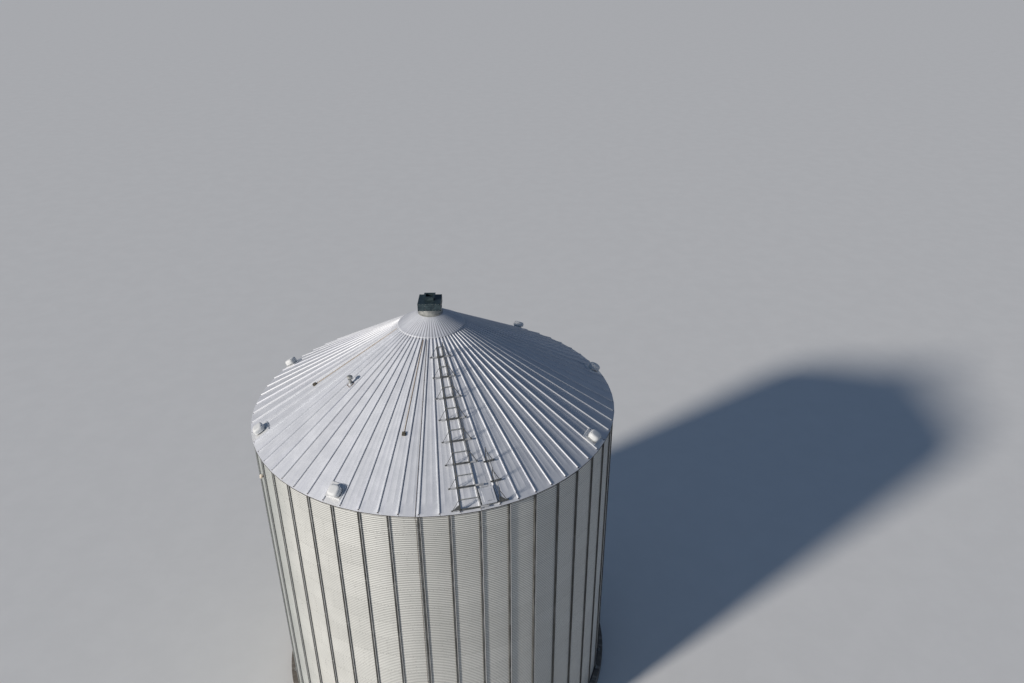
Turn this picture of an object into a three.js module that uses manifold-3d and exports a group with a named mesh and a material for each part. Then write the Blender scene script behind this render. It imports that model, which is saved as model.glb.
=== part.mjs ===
// Grain silo with a corrugated steel wall, a ribbed conical roof and a concrete plinth.
// Units are millimetres, +Z is up, and the origin is the centre of the plinth's underside.
// Angles run round the silo from the -Y side towards +X, and roof rib 0 is at angle 0.
import * as THREE from 'three';
import { mergeVertices } from 'three/addons/utils/BufferGeometryUtils.js';
import Module from 'manifold-3d';

// Plinth
const PLINTH_R = 10400;
const PLINTH_H = 600;
const PLINTH_SIDES = 66;

// Wall: rings of corrugated sheet, modelled as one thick skin
const WALL_R = 10030;
const WALL_T = 10;
const RING_COUNT = 16;
const RING_H = 1168.75;
const WALL_TOP = PLINTH_H + RING_COUNT * RING_H;
const SECTORS = 11;
const STIFFENERS = 44;
const STIFFENER_D = 70;
const STIFFENER_T = 8;
const STIFFENER_FLOOR = 38;
const STIFFENER_MOUTH = 46;
const STIFFENER_LIP = 70;
const WALL_FACETS = 132;

// Roof: flat bays between radial ribs
const RIBS = 66;
const BAY = (2 * Math.PI) / RIBS;
const HALF_BAY = BAY / 2;
const PITCH = THREE.MathUtils.degToRad(30);
const RIB_PITCH = Math.atan(Math.tan(PITCH) * Math.cos(HALF_BAY));
const EAVE_R = 10136;
const EAVE_RISE = 50;
const SHEET_T = 12;
const SEAT_OUT = 10046;
const SEAT_IN = 9950;
const ROOF_IN_R = 1700;
const RIB_W = 90;
const RIB_TOP_W = 50;
const RIB_H = 55;
const RIB_END_R = 10105;

// Peak
const CAP_R = 1800;
const CAP_IN_R = 560;
const CAP_T = 12;
const CAP_SEAT = 1.6;
const COLLAR_R = 600;
const COLLAR_FLANGE_R = 680;
const COLLAR_FLANGE_T = 20;
const COLLAR_H = 260;
const INLET_W = 1200;
const INLET_H = 420;
const INLET_T = 12;
const INLET_FLOOR_HOLE = 860;
const NECK_HOLE = 400;
const NECK_T = 12;
const NECK_H = 240;
const NECK_FLANGE_W = 600;

// Roof access
const STEP_BAY = 2.5;
const STEP_FOOT_R = 10000;
const STEP_FIRST_R = 9580;
const STEP_SPACING = 520;
const STEP_COUNT = 15;
const STRINGER_W = 50;
const STRINGER_H = 40;
const BAR_LOW = 72;
const BAR_HIGH = 112;
const BAR_D_THIN = 40;
const BAR_D_THICK = 80;
const BAR_OVERHANG = 420;
const POST_H = 700;
const POST_W = 45;
const RAIL_W = 40;
const MID_RAIL_SHARE = 0.5;
const BRACE_SHARE = 0.8;
const BRACE_OUT = 370;
const BRACE_W = 32;
const FOOT_SINK = 2;
const GUARD_RIB = 4;
const GUARD_RADII = [9970, 9060, 8150];
const GUARD_BAR_L = 570;

// Hatch beside the foot of the steps
const HATCH_BAY = 3.5;
const HATCH_R = 9600;
const HATCH_W = 640;
const HATCH_L = 780;
const HATCH_HOLE_W = 520;
const HATCH_HOLE_L = 660;
const HATCH_H = 130;
const LID_W = 700;
const LID_T = 30;
const LID_OVERLAP = 30;
const HINGE_OFF = 35;
const PIN_R = 8;
const PIN_BORE = 9;
const LUG_W = 60;
const LUG_X = 215;
const LUG_REACH = 22;
const LUG_RISE = 20;
const EAR_T = 12;
const EAR_DROP = 35;
const PIN_SIDES = 12;
const CLEAR = 5;

// Vents
const VENT_OFFSETS = [8, 16, 24, 33, 42, 50, 58];
const VENT_R = 9555;
const VENT_PLATE_W = 720;
const VENT_PLATE_L = 600;
const VENT_PLATE_H = 40;
const VENT_NECK = 380;
const COWL_HALF = 300;
const COWL_SHIFT = 55;
const COWL_LOW = 140;
const COWL_HIGH = 410;
const COWL_ROUND = 130;
const COWL_POWER = 3;
const COWL_SIDES = 16;
const COWL_SKIN = 20;
const STACK_BAY = -9.5;
const STACK_R = 5100;
const STACK_PLATE = 330;
const STACK_PLATE_H = 24;
const STACK_PIPE_R = 75;
const STACK_H = 520;
const STACK_CAP_R = 155;
const STACK_CAP_TIP_R = 30;
const STACK_CAP_H = 80;
const STACK_RIM_H = 40;
const STACK_SIDES = 16;

// Fittings
const FIT = 0.3;
const CUT_GAP = 0.3;
const CONDUIT_R = 16;
const ROUND_SIDES = 12;
const PEAK_GAP = 60;
const SENSOR_SITES = [[-1.5, 6560, 'front'], [-13.5, 6490, 'left']];
const SENSOR_W = 150;
const SENSOR_L = 190;
const SENSOR_H = 95;
const ROD_R = 12;
const ROD_BAY = -0.5;
const ROD_OFF_TOP = 72;
const ROD_OFF_EAVE = 150;
const ROD_EAVE_R = 10185;
const ROD_WALL_OFF = 30;
const ROD_DROP = 60;
const ROD_BACK_DROP = 260;
const LAMP_FACET = -22;
const LAMP_W = 340;
const LAMP_H = 360;
const LAMP_D = 200;
const LAMP_DROP = 1450;

const wasm = await Module();
wasm.setup();
const silo = new THREE.Group();

const steelWall = new THREE.MeshStandardMaterial({ color: 0xb4b6ba, roughness: 0.45, metalness: 0.75 });
const steelRoof = new THREE.MeshStandardMaterial({ color: 0xbdbec6, roughness: 0.4, metalness: 0.75 });
const steelBar = new THREE.MeshStandardMaterial({ color: 0x9a9c96, roughness: 0.55, metalness: 0.7 });
const concrete = new THREE.MeshStandardMaterial({ color: 0xa8a49c, roughness: 0.95, metalness: 0 });
const darkPaint = new THREE.MeshStandardMaterial({ color: 0x2e3f4a, roughness: 0.6, metalness: 0.3 });
const rustySteel = new THREE.MeshStandardMaterial({ color: 0x7a5a44, roughness: 0.8, metalness: 0.4 });
const creamPaint = new THREE.MeshStandardMaterial({ color: 0xd8c4ae, roughness: 0.6, metalness: 0.1 });

function addNode(name, geometry, material) {
  const mesh = new THREE.Mesh(geometry, material.clone());
  mesh.name = name;
  silo.add(mesh);
  return mesh;
}

function bare(geometry) {
  const copy = geometry.clone();
  copy.deleteAttribute('normal');
  copy.deleteAttribute('uv');
  return mergeVertices(copy, 1e-3);
}

function toSolid(geometry) {
  const merged = bare(geometry);
  return new wasm.Manifold(new wasm.Mesh({
    numProp: 3,
    vertProperties: new Float32Array(merged.attributes.position.array),
    triVerts: new Uint32Array(merged.index.array),
  }));
}

function toGeometry(solid) {
  const mesh = solid.getMesh();
  const geometry = new THREE.BufferGeometry();
  geometry.setAttribute('position', new THREE.BufferAttribute(mesh.vertProperties, 3));
  geometry.setIndex(new THREE.BufferAttribute(mesh.triVerts, 1));
  geometry.computeVertexNormals();
  return geometry;
}

function join(geometries) {
  const [first, ...rest] = geometries.map(toSolid);
  return rest.reduce((solid, next) => solid.add(next), first);
}

// Directions round the silo
const outward = (angle) => new THREE.Vector3(Math.sin(angle), -Math.cos(angle), 0);
const sideways = (angle) => new THREE.Vector3(Math.cos(angle), Math.sin(angle), 0);

// The roof is a pyramid of 66 flat bays. A corner radius is measured along a rib,
// and the matching distance at the middle of a bay is shorter by cos(HALF_BAY).
const roofZ = (cornerR) => WALL_TOP + EAVE_RISE + (EAVE_R - cornerR) * Math.cos(HALF_BAY) * Math.tan(PITCH);
const fromMidBay = (angle) => Math.abs(((angle / BAY) % 1 + 1) % 1 - 0.5) * BAY;
const facetRadius = (cornerR, angle) => cornerR * Math.cos(HALF_BAY) / Math.cos(fromMidBay(angle));

// Closed body swept round the axis through the given angles. Each point is [corner radius, z],
// listed anticlockwise with the radius to the right.
function sweep(profile, angles, full) {
  const flat = profile.map(([r, z]) => new THREE.Vector2(r, z));
  if (THREE.ShapeUtils.isClockWise(flat)) {
    flat.reverse();
  }
  const n = flat.length;
  const positions = [];
  const indices = [];
  for (const angle of angles) {
    const dir = outward(angle);
    for (const point of flat) {
      const r = facetRadius(point.x, angle);
      positions.push(dir.x * r, dir.y * r, point.y);
    }
  }
  const spans = full ? angles.length : angles.length - 1;
  for (let i = 0; i < spans; i++) {
    const a = i * n;
    const b = ((i + 1) % angles.length) * n;
    for (let j = 0; j < n; j++) {
      const k = (j + 1) % n;
      indices.push(a + k, a + j, b + j, a + k, b + j, b + k);
    }
  }
  if (!full) {
    const last = (angles.length - 1) * n;
    for (const [p, q, s] of THREE.ShapeUtils.triangulateShape(flat, [])) {
      indices.push(p, q, s, last + p, last + s, last + q);
    }
  }
  const geometry = new THREE.BufferGeometry();
  geometry.setAttribute('position', new THREE.Float32BufferAttribute(positions, 3));
  geometry.setIndex(indices);
  return geometry;
}

// Frame lying on a roof bay: x along the eave, y up the slope, z square to the sheet
function bayFrame(bay, midR) {
  const angle = bay * BAY;
  const out = outward(angle);
  const x = sideways(angle);
  const y = out.clone().multiplyScalar(-Math.cos(PITCH)).setZ(Math.sin(PITCH));
  const z = out.clone().multiplyScalar(Math.sin(PITCH)).setZ(Math.cos(PITCH));
  const height = roofZ(midR / Math.cos(HALF_BAY));
  return new THREE.Matrix4().makeBasis(x, y, z).setPosition(out.x * midR, out.y * midR, height);
}

// Frame lying on a rib's line, with z square to the line
function ribFrame(rib, cornerR) {
  const angle = rib * BAY;
  const out = outward(angle);
  const y = out.clone().multiplyScalar(-Math.cos(RIB_PITCH)).setZ(Math.sin(RIB_PITCH));
  const z = out.clone().multiplyScalar(Math.sin(RIB_PITCH)).setZ(Math.cos(RIB_PITCH));
  return new THREE.Matrix4().makeBasis(sideways(angle), y, z)
    .setPosition(out.x * cornerR, out.y * cornerR, roofZ(cornerR));
}

const box = (w, d, h, x = 0, y = 0, z = 0) => new THREE.BoxGeometry(w, d, h).translate(x, y, z);

// Leg between two levels of a bay frame, leaning so that its foot and head stay parallel to the roof
function leg(foot, head, w) {
  const h = head.z - foot.z;
  const lean = new THREE.Matrix4().set(
    1, 0, (head.x - foot.x) / h, foot.x,
    0, 1, (head.y - foot.y) / h, foot.y,
    0, 0, 1, foot.z,
    0, 0, 0, 1,
  );
  return new THREE.BoxGeometry(w, w, h).translate(0, 0, h / 2).applyMatrix4(lean);
}

// Straight bar of square section between two points
function bar(from, to, w) {
  const length = from.distanceTo(to);
  const along = to.clone().sub(from).normalize();
  const turn = new THREE.Quaternion().setFromUnitVectors(new THREE.Vector3(0, 0, 1), along);
  const middle = from.clone().add(to).multiplyScalar(0.5);
  return new THREE.BoxGeometry(w, w, length).applyQuaternion(turn).translate(middle.x, middle.y, middle.z);
}

// Round rod through a list of points
function rod(points, r, sides) {
  const pieces = [];
  for (let i = 0; i + 1 < points.length; i++) {
    const length = points[i].distanceTo(points[i + 1]);
    const along = points[i + 1].clone().sub(points[i]).normalize();
    const turn = new THREE.Quaternion().setFromUnitVectors(new THREE.Vector3(0, 1, 0), along);
    const middle = points[i].clone().add(points[i + 1]).multiplyScalar(0.5);
    const piece = new THREE.CylinderGeometry(r, r, length + r, sides).applyQuaternion(turn);
    pieces.push(piece.translate(middle.x, middle.y, middle.z));
  }
  return pieces;
}

// Plinth: a round concrete raft whose top is the silo's floor
function buildPlinth() {
  const disc = new THREE.CylinderGeometry(PLINTH_R, PLINTH_R, PLINTH_H, PLINTH_SIDES)
    .rotateX(Math.PI / 2).translate(0, 0, PLINTH_H / 2);
  addNode('foundation_plinth', bare(disc), concrete);
}

// Stiffener: a channel that opens outward and flares, with a lip along each edge
const STIFFENER_OUTLINE = [
  [-STIFFENER_FLOOR, 0],
  [-STIFFENER_MOUTH - STIFFENER_T, STIFFENER_D - STIFFENER_T],
  [-STIFFENER_LIP, STIFFENER_D - STIFFENER_T],
  [-STIFFENER_LIP, STIFFENER_D],
  [-STIFFENER_MOUTH, STIFFENER_D],
  [STIFFENER_T - STIFFENER_FLOOR, STIFFENER_T],
];

// Wall sector: two sheets wide, with four outside stiffeners
function buildWallSector(index) {
  const wallStep = (2 * Math.PI) / WALL_FACETS;
  const stiffStep = (2 * Math.PI) / STIFFENERS;
  const perSector = STIFFENERS / SECTORS;
  const start = index * perSector * stiffStep - stiffStep / 2;
  const end = start + perSector * stiffStep;
  const inset = CUT_GAP / 2 / WALL_R;
  const steps = WALL_FACETS / SECTORS;
  const at = (angle, r, slide = 0) => {
    const p = outward(angle).multiplyScalar(r).add(sideways(angle).multiplyScalar(slide));
    return new THREE.Vector2(p.x, p.y);
  };
  const outline = [];
  const seat = WALL_R - WALL_T / 4;
  const stiffenerAt = (angle) => {
    const mirrored = STIFFENER_OUTLINE.map(([x, out]) => [-x, out]).reverse();
    for (const [x, out] of [...STIFFENER_OUTLINE, ...mirrored]) {
      outline.push(at(angle, seat + out, x));
    }
  };
  // Facet corners lie half a step off the stiffeners
  for (let i = 0; i <= steps; i++) {
    const angle = i === 0 ? start + inset : i === steps ? end - inset : start + i * wallStep;
    outline.push(at(angle, WALL_R));
    if (i % 3 === 1) {
      stiffenerAt(start + (i + 0.5) * wallStep);
    }
  }
  for (let i = steps; i >= 0; i--) {
    const angle = i === 0 ? start + inset : i === steps ? end - inset : start + i * wallStep;
    outline.push(at(angle, WALL_R - WALL_T));
  }
  const wall = new THREE.ExtrudeGeometry(new THREE.Shape(outline), {
    depth: RING_COUNT * RING_H, bevelEnabled: false,
  }).translate(0, 0, PLINTH_H);
  addNode(`wall_sector_${String(index + 1).padStart(2, '0')}`, bare(wall), steelWall);
}

// One trapezoid rib along its own line
function ribGeometry(rib) {
  const length = (RIB_END_R - ROOF_IN_R) / Math.cos(RIB_PITCH);
  const shape = new THREE.Shape([
    new THREE.Vector2(-RIB_W / 2, -SHEET_T / 3),
    new THREE.Vector2(RIB_W / 2, -SHEET_T / 3),
    new THREE.Vector2(RIB_TOP_W / 2, RIB_H),
    new THREE.Vector2(-RIB_TOP_W / 2, RIB_H),
  ]);
  const body = new THREE.ExtrudeGeometry(shape, { depth: length, bevelEnabled: false });
  // The shape's y becomes the height and the extrusion runs down the slope
  body.rotateX(Math.PI / 2);
  return body.applyMatrix4(ribFrame(rib, ROOF_IN_R));
}

// Roof sector: six bays of sheet with their ribs and the seat that rests on the wall
function buildRoofSector(index) {
  const perSector = RIBS / SECTORS;
  const first = index * perSector;
  const inset = CUT_GAP / 2 / ROOF_IN_R;
  const angles = [(first - 0.5) * BAY + inset];
  for (let i = 0; i < perSector; i++) {
    angles.push((first + i) * BAY);
  }
  angles.push((first + perSector - 0.5) * BAY - inset);
  const under = (r) => roofZ(r) - SHEET_T;
  const profile = [
    [EAVE_R, roofZ(EAVE_R)],
    [EAVE_R, under(EAVE_R)],
    [SEAT_OUT, under(SEAT_OUT)],
    [SEAT_OUT, WALL_TOP + FIT],
    [SEAT_IN, WALL_TOP + FIT],
    [SEAT_IN, under(SEAT_IN)],
    [ROOF_IN_R, under(ROOF_IN_R)],
    [ROOF_IN_R, roofZ(ROOF_IN_R)],
  ];
  const ribs = angles.slice(1, -1).map((angle, i) => ribGeometry(first + i));
  let solid = join([sweep(profile, angles, false), ...ribs]);
  if (first < HATCH_BAY && HATCH_BAY < first + perSector) {
    const hole = box(HATCH_HOLE_W, HATCH_HOLE_L, 4 * HATCH_H).applyMatrix4(bayFrame(HATCH_BAY, HATCH_R));
    solid = solid.subtract(toSolid(hole));
  }
  addNode(`roof_sector_${String(index + 1).padStart(2, '0')}`, toGeometry(solid), steelRoof);
}

const ribAngles = Array.from({ length: RIBS }, (_, i) => i * BAY);
const capUnder = (r) => roofZ(r) + RIB_H / Math.cos(RIB_PITCH) + CAP_SEAT;
const capTop = (r) => capUnder(r) + CAP_T;
const COLLAR_TOP = capTop(CAP_IN_R) + COLLAR_H;
const INLET_TOP = COLLAR_TOP + FIT + INLET_H;

// Peak: cap ring on the upper ends of the ribs, collar, inlet box and flanged neck
function buildPeak() {
  addNode('peak_cap', sweep([
    [CAP_R, capUnder(CAP_R)],
    [CAP_R, capTop(CAP_R)],
    [CAP_IN_R, capTop(CAP_IN_R)],
    [CAP_IN_R, capUnder(CAP_IN_R)],
  ], ribAngles, true), steelRoof);
  addNode('peak_collar', sweep([
    [COLLAR_FLANGE_R, capTop(COLLAR_FLANGE_R) + FIT],
    [COLLAR_FLANGE_R, capTop(COLLAR_FLANGE_R) + COLLAR_FLANGE_T],
    [COLLAR_R, capTop(COLLAR_R) + COLLAR_FLANGE_T],
    [COLLAR_R, COLLAR_TOP],
    [CAP_IN_R, COLLAR_TOP],
    [CAP_IN_R, capTop(CAP_IN_R) + FIT],
  ], ribAngles, true), steelBar);

  const low = COLLAR_TOP + FIT;
  const outer = box(INLET_W, INLET_W, INLET_H, 0, 0, low + INLET_H / 2);
  const innerW = INLET_W - 2 * INLET_T;
  const inner = box(innerW, innerW, INLET_H - 2 * INLET_T, 0, 0, low + INLET_H / 2);
  const floorHole = box(INLET_FLOOR_HOLE, INLET_FLOOR_HOLE, 4 * INLET_T, 0, 0, low);
  const roofHole = box(NECK_HOLE, NECK_HOLE, 4 * INLET_T, 0, 0, INLET_TOP);
  addNode('inlet_box', toGeometry(toSolid(outer).subtract(join([inner, floorHole, roofHole]))), darkPaint);

  const neckLow = INLET_TOP + FIT;
  const neckW = NECK_HOLE + 2 * NECK_T;
  const neck = join([
    box(neckW, neckW, NECK_H, 0, 0, neckLow + NECK_H / 2),
    box(NECK_FLANGE_W, NECK_FLANGE_W, NECK_T, 0, 0, neckLow + NECK_H - NECK_T / 2),
  ]).subtract(toSolid(box(NECK_HOLE, NECK_HOLE, 3 * NECK_H, 0, 0, neckLow)));
  addNode('inlet_neck', toGeometry(neck), darkPaint);
}

// Steps: bars across one bay, carried by two stringers on the ribs beside it
const barRadii = [STEP_FOOT_R];
for (let i = 0; i < STEP_COUNT; i++) {
  barRadii.push(STEP_FIRST_R - i * STEP_SPACING);
}
const isThick = (i) => i % 2 === 0;
const stepFrame = bayFrame(STEP_BAY, 0);
const slopeAt = (midR) => -midR / Math.cos(PITCH);
const ribSide = (midR) => midR * Math.tan(HALF_BAY);

function buildSteps() {
  const pieces = [];
  const lastR = barRadii[barRadii.length - 1] - BAR_D_THIN;
  const length = (STEP_FOOT_R + BAR_D_THICK - lastR) / Math.cos(RIB_PITCH);
  for (const side of [-0.5, 0.5]) {
    const stringer = box(STRINGER_W, length, STRINGER_H, 0, length / 2, RIB_H + FIT + STRINGER_H / 2);
    pieces.push(stringer.applyMatrix4(ribFrame(STEP_BAY + side, STEP_FOOT_R + BAR_D_THICK)));
  }
  barRadii.forEach((midR, i) => {
    const depth = isThick(i) ? BAR_D_THICK : BAR_D_THIN;
    const reach = ribSide(midR) + (isThick(i) ? BAR_OVERHANG : STRINGER_W / 2);
    const rung = box(2 * reach, depth, BAR_HIGH - BAR_LOW, 0, slopeAt(midR), (BAR_HIGH + BAR_LOW) / 2);
    pieces.push(rung.applyMatrix4(stepFrame));
  });
  addNode('roof_steps', toGeometry(join(pieces)), steelBar);
}

// Handrail on one side of the steps: posts and braces standing on the thick bars, with two rails.
// A head is set up the slope from its foot, so that the posts stand upright.
const upright = Math.tan(PITCH);
function handrailPieces(feet, side) {
  const pieces = [];
  const heads = [];
  const mids = [];
  for (const [x, y, z] of feet) {
    const headAt = (share) => new THREE.Vector3(x, y + upright * POST_H * share, z + POST_H * share);
    const foot = new THREE.Vector3(x, y, z);
    pieces.push(leg(foot, headAt(1), POST_W));
    const braceFoot = new THREE.Vector3(x + side * BRACE_OUT, y, z);
    pieces.push(leg(braceFoot, headAt(BRACE_SHARE), BRACE_W));
    heads.push(headAt(1).add(new THREE.Vector3(0, 0, -RAIL_W / 3)));
    mids.push(headAt(MID_RAIL_SHARE));
  }
  for (const row of [heads, mids]) {
    for (let i = 0; i + 1 < row.length; i++) {
      pieces.push(bar(row[i], row[i + 1], RAIL_W));
    }
  }
  return pieces;
}

function buildHandrails() {
  const footZ = BAR_HIGH + FIT;
  const thick = barRadii.filter((_, i) => isThick(i));
  const left = thick.map((midR) => [-ribSide(midR), slopeAt(midR), footZ]);
  const right = thick.slice(2).map((midR) => [ribSide(midR), slopeAt(midR), footZ]);
  const place = (pieces) => toGeometry(join(pieces.map((piece) => piece.applyMatrix4(stepFrame))));
  addNode('handrail_left', place(handrailPieces(left, -1)), steelBar);
  addNode('handrail_right', place(handrailPieces(right, 1)), steelBar);
}

// Guard rail beyond the hatch, on its own bars across the next rib
function buildHatchGuard() {
  const base = ribFrame(GUARD_RIB, GUARD_RADII[0]);
  const yOf = (r) => (GUARD_RADII[0] - r) / Math.cos(RIB_PITCH);
  const barLow = RIB_H + FIT;
  const pieces = GUARD_RADII.map((r) => box(
    GUARD_BAR_L, BAR_D_THICK, STRINGER_H, BRACE_OUT / 2, yOf(r), barLow + STRINGER_H / 2,
  ));
  const footZ = barLow + STRINGER_H - FOOT_SINK;
  pieces.push(...handrailPieces(GUARD_RADII.map((r) => [0, yOf(r), footZ]), 1));
  addNode('hatch_guard', toGeometry(join(pieces.map((piece) => piece.applyMatrix4(base)))), steelBar);
}

// Hatch: a raised frame round the opening and a lid hinged at its upper edge.
// The frame's ears hold a pin, and the lid's two lugs turn on it.
const HATCH_TOP = FIT + HATCH_H;
const HINGE_Y = HATCH_L / 2 + HINGE_OFF;
const HINGE_Z = HATCH_TOP + FIT + LID_T / 2;

function between(lowX, highX, lowY, highY, lowZ, highZ) {
  return box(
    highX - lowX, highY - lowY, highZ - lowZ,
    (highX + lowX) / 2, (highY + lowY) / 2, (highZ + lowZ) / 2,
  );
}

function pinAlongX(r, length, x) {
  return new THREE.CylinderGeometry(r, r, length, PIN_SIDES).rotateZ(Math.PI / 2).translate(x, HINGE_Y, HINGE_Z);
}

function buildHatch() {
  const place = bayFrame(HATCH_BAY, HATCH_R);
  const face = HATCH_L / 2;
  const back = HINGE_Y + LUG_REACH;
  const earIn = LUG_X + LUG_W / 2 + CLEAR;
  const earParts = [];
  for (const side of [-1, 1]) {
    const low = side < 0 ? -earIn - EAR_T : earIn;
    const earFoot = HATCH_TOP - EAR_DROP;
    earParts.push(between(low, low + EAR_T, face - CLEAR, back, earFoot, HATCH_TOP - CLEAR));
    earParts.push(between(low, low + EAR_T, HINGE_Y - LUG_REACH, back, earFoot, HINGE_Z + LUG_RISE));
  }
  const frame = join([
    between(-HATCH_W / 2, HATCH_W / 2, -face, face, FIT, HATCH_TOP),
    ...earParts,
    pinAlongX(PIN_R, 2 * earIn + EAR_T, 0),
  ]).subtract(toSolid(box(HATCH_HOLE_W, HATCH_HOLE_L, 3 * HATCH_H)));
  addNode('hatch_frame', toGeometry(frame), steelBar).applyMatrix4(place);

  const plateLow = HATCH_TOP + FIT;
  const plateEnd = face + CLEAR;
  const plate = between(-LID_W / 2, LID_W / 2, -face - LID_OVERLAP, plateEnd, plateLow, plateLow + LID_T);
  const lugs = [-LUG_X, LUG_X].flatMap((x) => [
    between(x - LUG_W / 2, x + LUG_W / 2, plateEnd - CLEAR, back, plateLow, plateLow + LID_T),
    between(
      x - LUG_W / 2, x + LUG_W / 2, HINGE_Y - LUG_REACH, back, HINGE_Z - LUG_RISE, HINGE_Z + LUG_RISE,
    ),
  ]);
  const lid = join([plate, ...lugs]).subtract(toSolid(pinAlongX(PIN_BORE, LID_W, 0)));
  addNode('hatch_lid', toGeometry(lid), steelRoof).applyMatrix4(place);
}

// Cowl: a plan between a circle and a square, upright sides, round shoulders and a flat top
function cowl(half, low, high, round) {
  const outline = [];
  for (let i = 0; i < COWL_SIDES; i++) {
    const angle = ((i + 0.5) * 2 * Math.PI) / COWL_SIDES;
    const [c, s] = [Math.cos(angle), Math.sin(angle)];
    const r = half / (Math.abs(c) ** COWL_POWER + Math.abs(s) ** COWL_POWER) ** (1 / COWL_POWER);
    outline.push(new THREE.Vector2(r * c, r * s));
  }
  const body = new THREE.ExtrudeGeometry(new THREE.Shape(outline), {
    depth: high - round - low,
    bevelThickness: round,
    bevelSize: round,
    bevelOffset: -round,
    bevelSegments: 3,
  }).translate(0, -COWL_SHIFT, low);
  const below = box(4 * half, 4 * half, 2 * round, 0, 0, low - round);
  return toSolid(body).subtract(toSolid(below));
}

// Vent: a flashing plate and a square neck between two ribs, and a cowl over the neck that
// reaches out down the slope and is hollow round the neck
function buildVent(index) {
  const skin = COWL_SKIN;
  const hollow = cowl(COWL_HALF - skin, COWL_LOW - skin, COWL_HIGH - 2 * skin, COWL_ROUND - skin);
  const plate = box(VENT_PLATE_W, VENT_PLATE_L, VENT_PLATE_H, 0, 0, FIT + VENT_PLATE_H / 2);
  const neck = between(
    -VENT_NECK / 2, VENT_NECK / 2, -VENT_NECK / 2, VENT_NECK / 2, VENT_PLATE_H / 2, COWL_HIGH - skin,
  );
  const solid = cowl(COWL_HALF, COWL_LOW, COWL_HIGH, COWL_ROUND).subtract(hollow).add(join([plate, neck]));
  addNode(`roof_vent_${index + 1}`, toGeometry(solid), steelRoof)
    .applyMatrix4(bayFrame(HATCH_BAY + VENT_OFFSETS[index], VENT_R));
}

// Stack vent: flashing plate, upright pipe and round rain cap
function buildStackVent() {
  const place = bayFrame(STACK_BAY, STACK_R);
  const plate = box(STACK_PLATE, STACK_PLATE, STACK_PLATE_H, 0, 0, FIT + STACK_PLATE_H / 2).applyMatrix4(place);
  const foot = new THREE.Vector3(0, 0, STACK_PLATE_H).applyMatrix4(place);
  const sink = STACK_PIPE_R * Math.tan(PITCH);
  const drum = (topR, lowR, low, high) => new THREE.CylinderGeometry(topR, lowR, high - low, STACK_SIDES)
    .rotateX(Math.PI / 2).translate(foot.x, foot.y, foot.z + (high + low) / 2);
  const below = box(2 * STACK_PLATE, 2 * STACK_PLATE, STACK_H, 0, 0, FIT - STACK_H / 2).applyMatrix4(place);
  const solid = join([
    plate,
    drum(STACK_PIPE_R, STACK_PIPE_R, -sink, STACK_H),
    drum(STACK_CAP_R, STACK_CAP_R, STACK_H - STACK_CAP_H - STACK_RIM_H, STACK_H - STACK_CAP_H),
    drum(STACK_CAP_TIP_R, STACK_CAP_R, STACK_H - STACK_CAP_H, STACK_H),
  ]).subtract(toSolid(below));
  addNode('stack_vent', toGeometry(solid), steelBar);
}

// Level sensor: a housing on the sheet with its conduit up to the peak cap
function buildSensor([bay, cornerR, side]) {
  const place = bayFrame(bay, cornerR);
  const run = (cornerR - CAP_R - PEAK_GAP) / Math.cos(PITCH);
  const pieces = [
    box(SENSOR_W, SENSOR_L, SENSOR_H, 0, 0, FIT + SENSOR_H / 2),
    ...rod([
      new THREE.Vector3(0, 0, CONDUIT_R + FIT),
      new THREE.Vector3(0, run, CONDUIT_R + FIT),
    ], CONDUIT_R, ROUND_SIDES),
  ];
  addNode(`level_sensor_${side}`, toGeometry(join(pieces)), rustySteel).applyMatrix4(place);
}

// Lightning rod: round steel from the cap down the roof beside rib 0, over the eave,
// back to the wall and down it to the plinth
function buildLightningRod() {
  const frame = bayFrame(ROD_BAY, 0);
  const lift = ROD_R + FIT;
  const onRoof = (midR, off) => new THREE.Vector3(ribSide(midR) - off, slopeAt(midR), lift)
    .applyMatrix4(frame);
  const top = onRoof(CAP_R + PEAK_GAP, ROD_OFF_TOP);
  const overEave = onRoof(ROD_EAVE_R, ROD_OFF_EAVE);
  const angle = Math.atan2(overEave.x, -overEave.y);
  const atWall = (r, z) => outward(angle).multiplyScalar(r).setZ(z);
  const points = [
    top,
    overEave,
    atWall(Math.hypot(overEave.x, overEave.y), WALL_TOP - ROD_DROP),
    atWall(WALL_R + ROD_WALL_OFF, WALL_TOP - ROD_BACK_DROP),
    atWall(WALL_R + ROD_WALL_OFF, PLINTH_H + ROD_R),
  ];
  addNode('lightning_rod', toGeometry(join(rod(points, ROD_R, ROUND_SIDES))), rustySteel);
}

// Small box lamp on the wall under the eave
function buildEaveLamp() {
  const angle = (LAMP_FACET * 2 * Math.PI) / WALL_FACETS;
  const r = WALL_R * Math.cos(Math.PI / WALL_FACETS);
  const out = outward(angle);
  const up = new THREE.Vector3(0, 0, 1);
  const place = new THREE.Matrix4().makeBasis(sideways(angle), out.clone().negate(), up)
    .setPosition(out.x * r, out.y * r, WALL_TOP - LAMP_DROP);
  const body = box(LAMP_W, LAMP_D, LAMP_H, 0, -LAMP_D / 2 - FIT, 0);
  addNode('eave_lamp', bare(body), creamPaint).applyMatrix4(place);
}

buildPlinth();
for (let i = 0; i < SECTORS; i++) {
  buildWallSector(i);
}
for (let i = 0; i < SECTORS; i++) {
  buildRoofSector(i);
}
buildPeak();
buildSteps();
buildHandrails();
buildHatchGuard();
buildHatch();
VENT_OFFSETS.forEach((_, i) => buildVent(i));
buildStackVent();
SENSOR_SITES.forEach(buildSensor);
buildLightningRod();
buildEaveLamp();

export default silo;
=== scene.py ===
"""Looks for the grain silo. Metres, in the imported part's frame: +Z up, origin under the plinth's centre.

Angles run round the silo from the -Y side towards +X, and roof rib 0 is at angle 0.
"""

import math

import bpy
import numpy as np
from mathutils import Matrix, Vector


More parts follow.
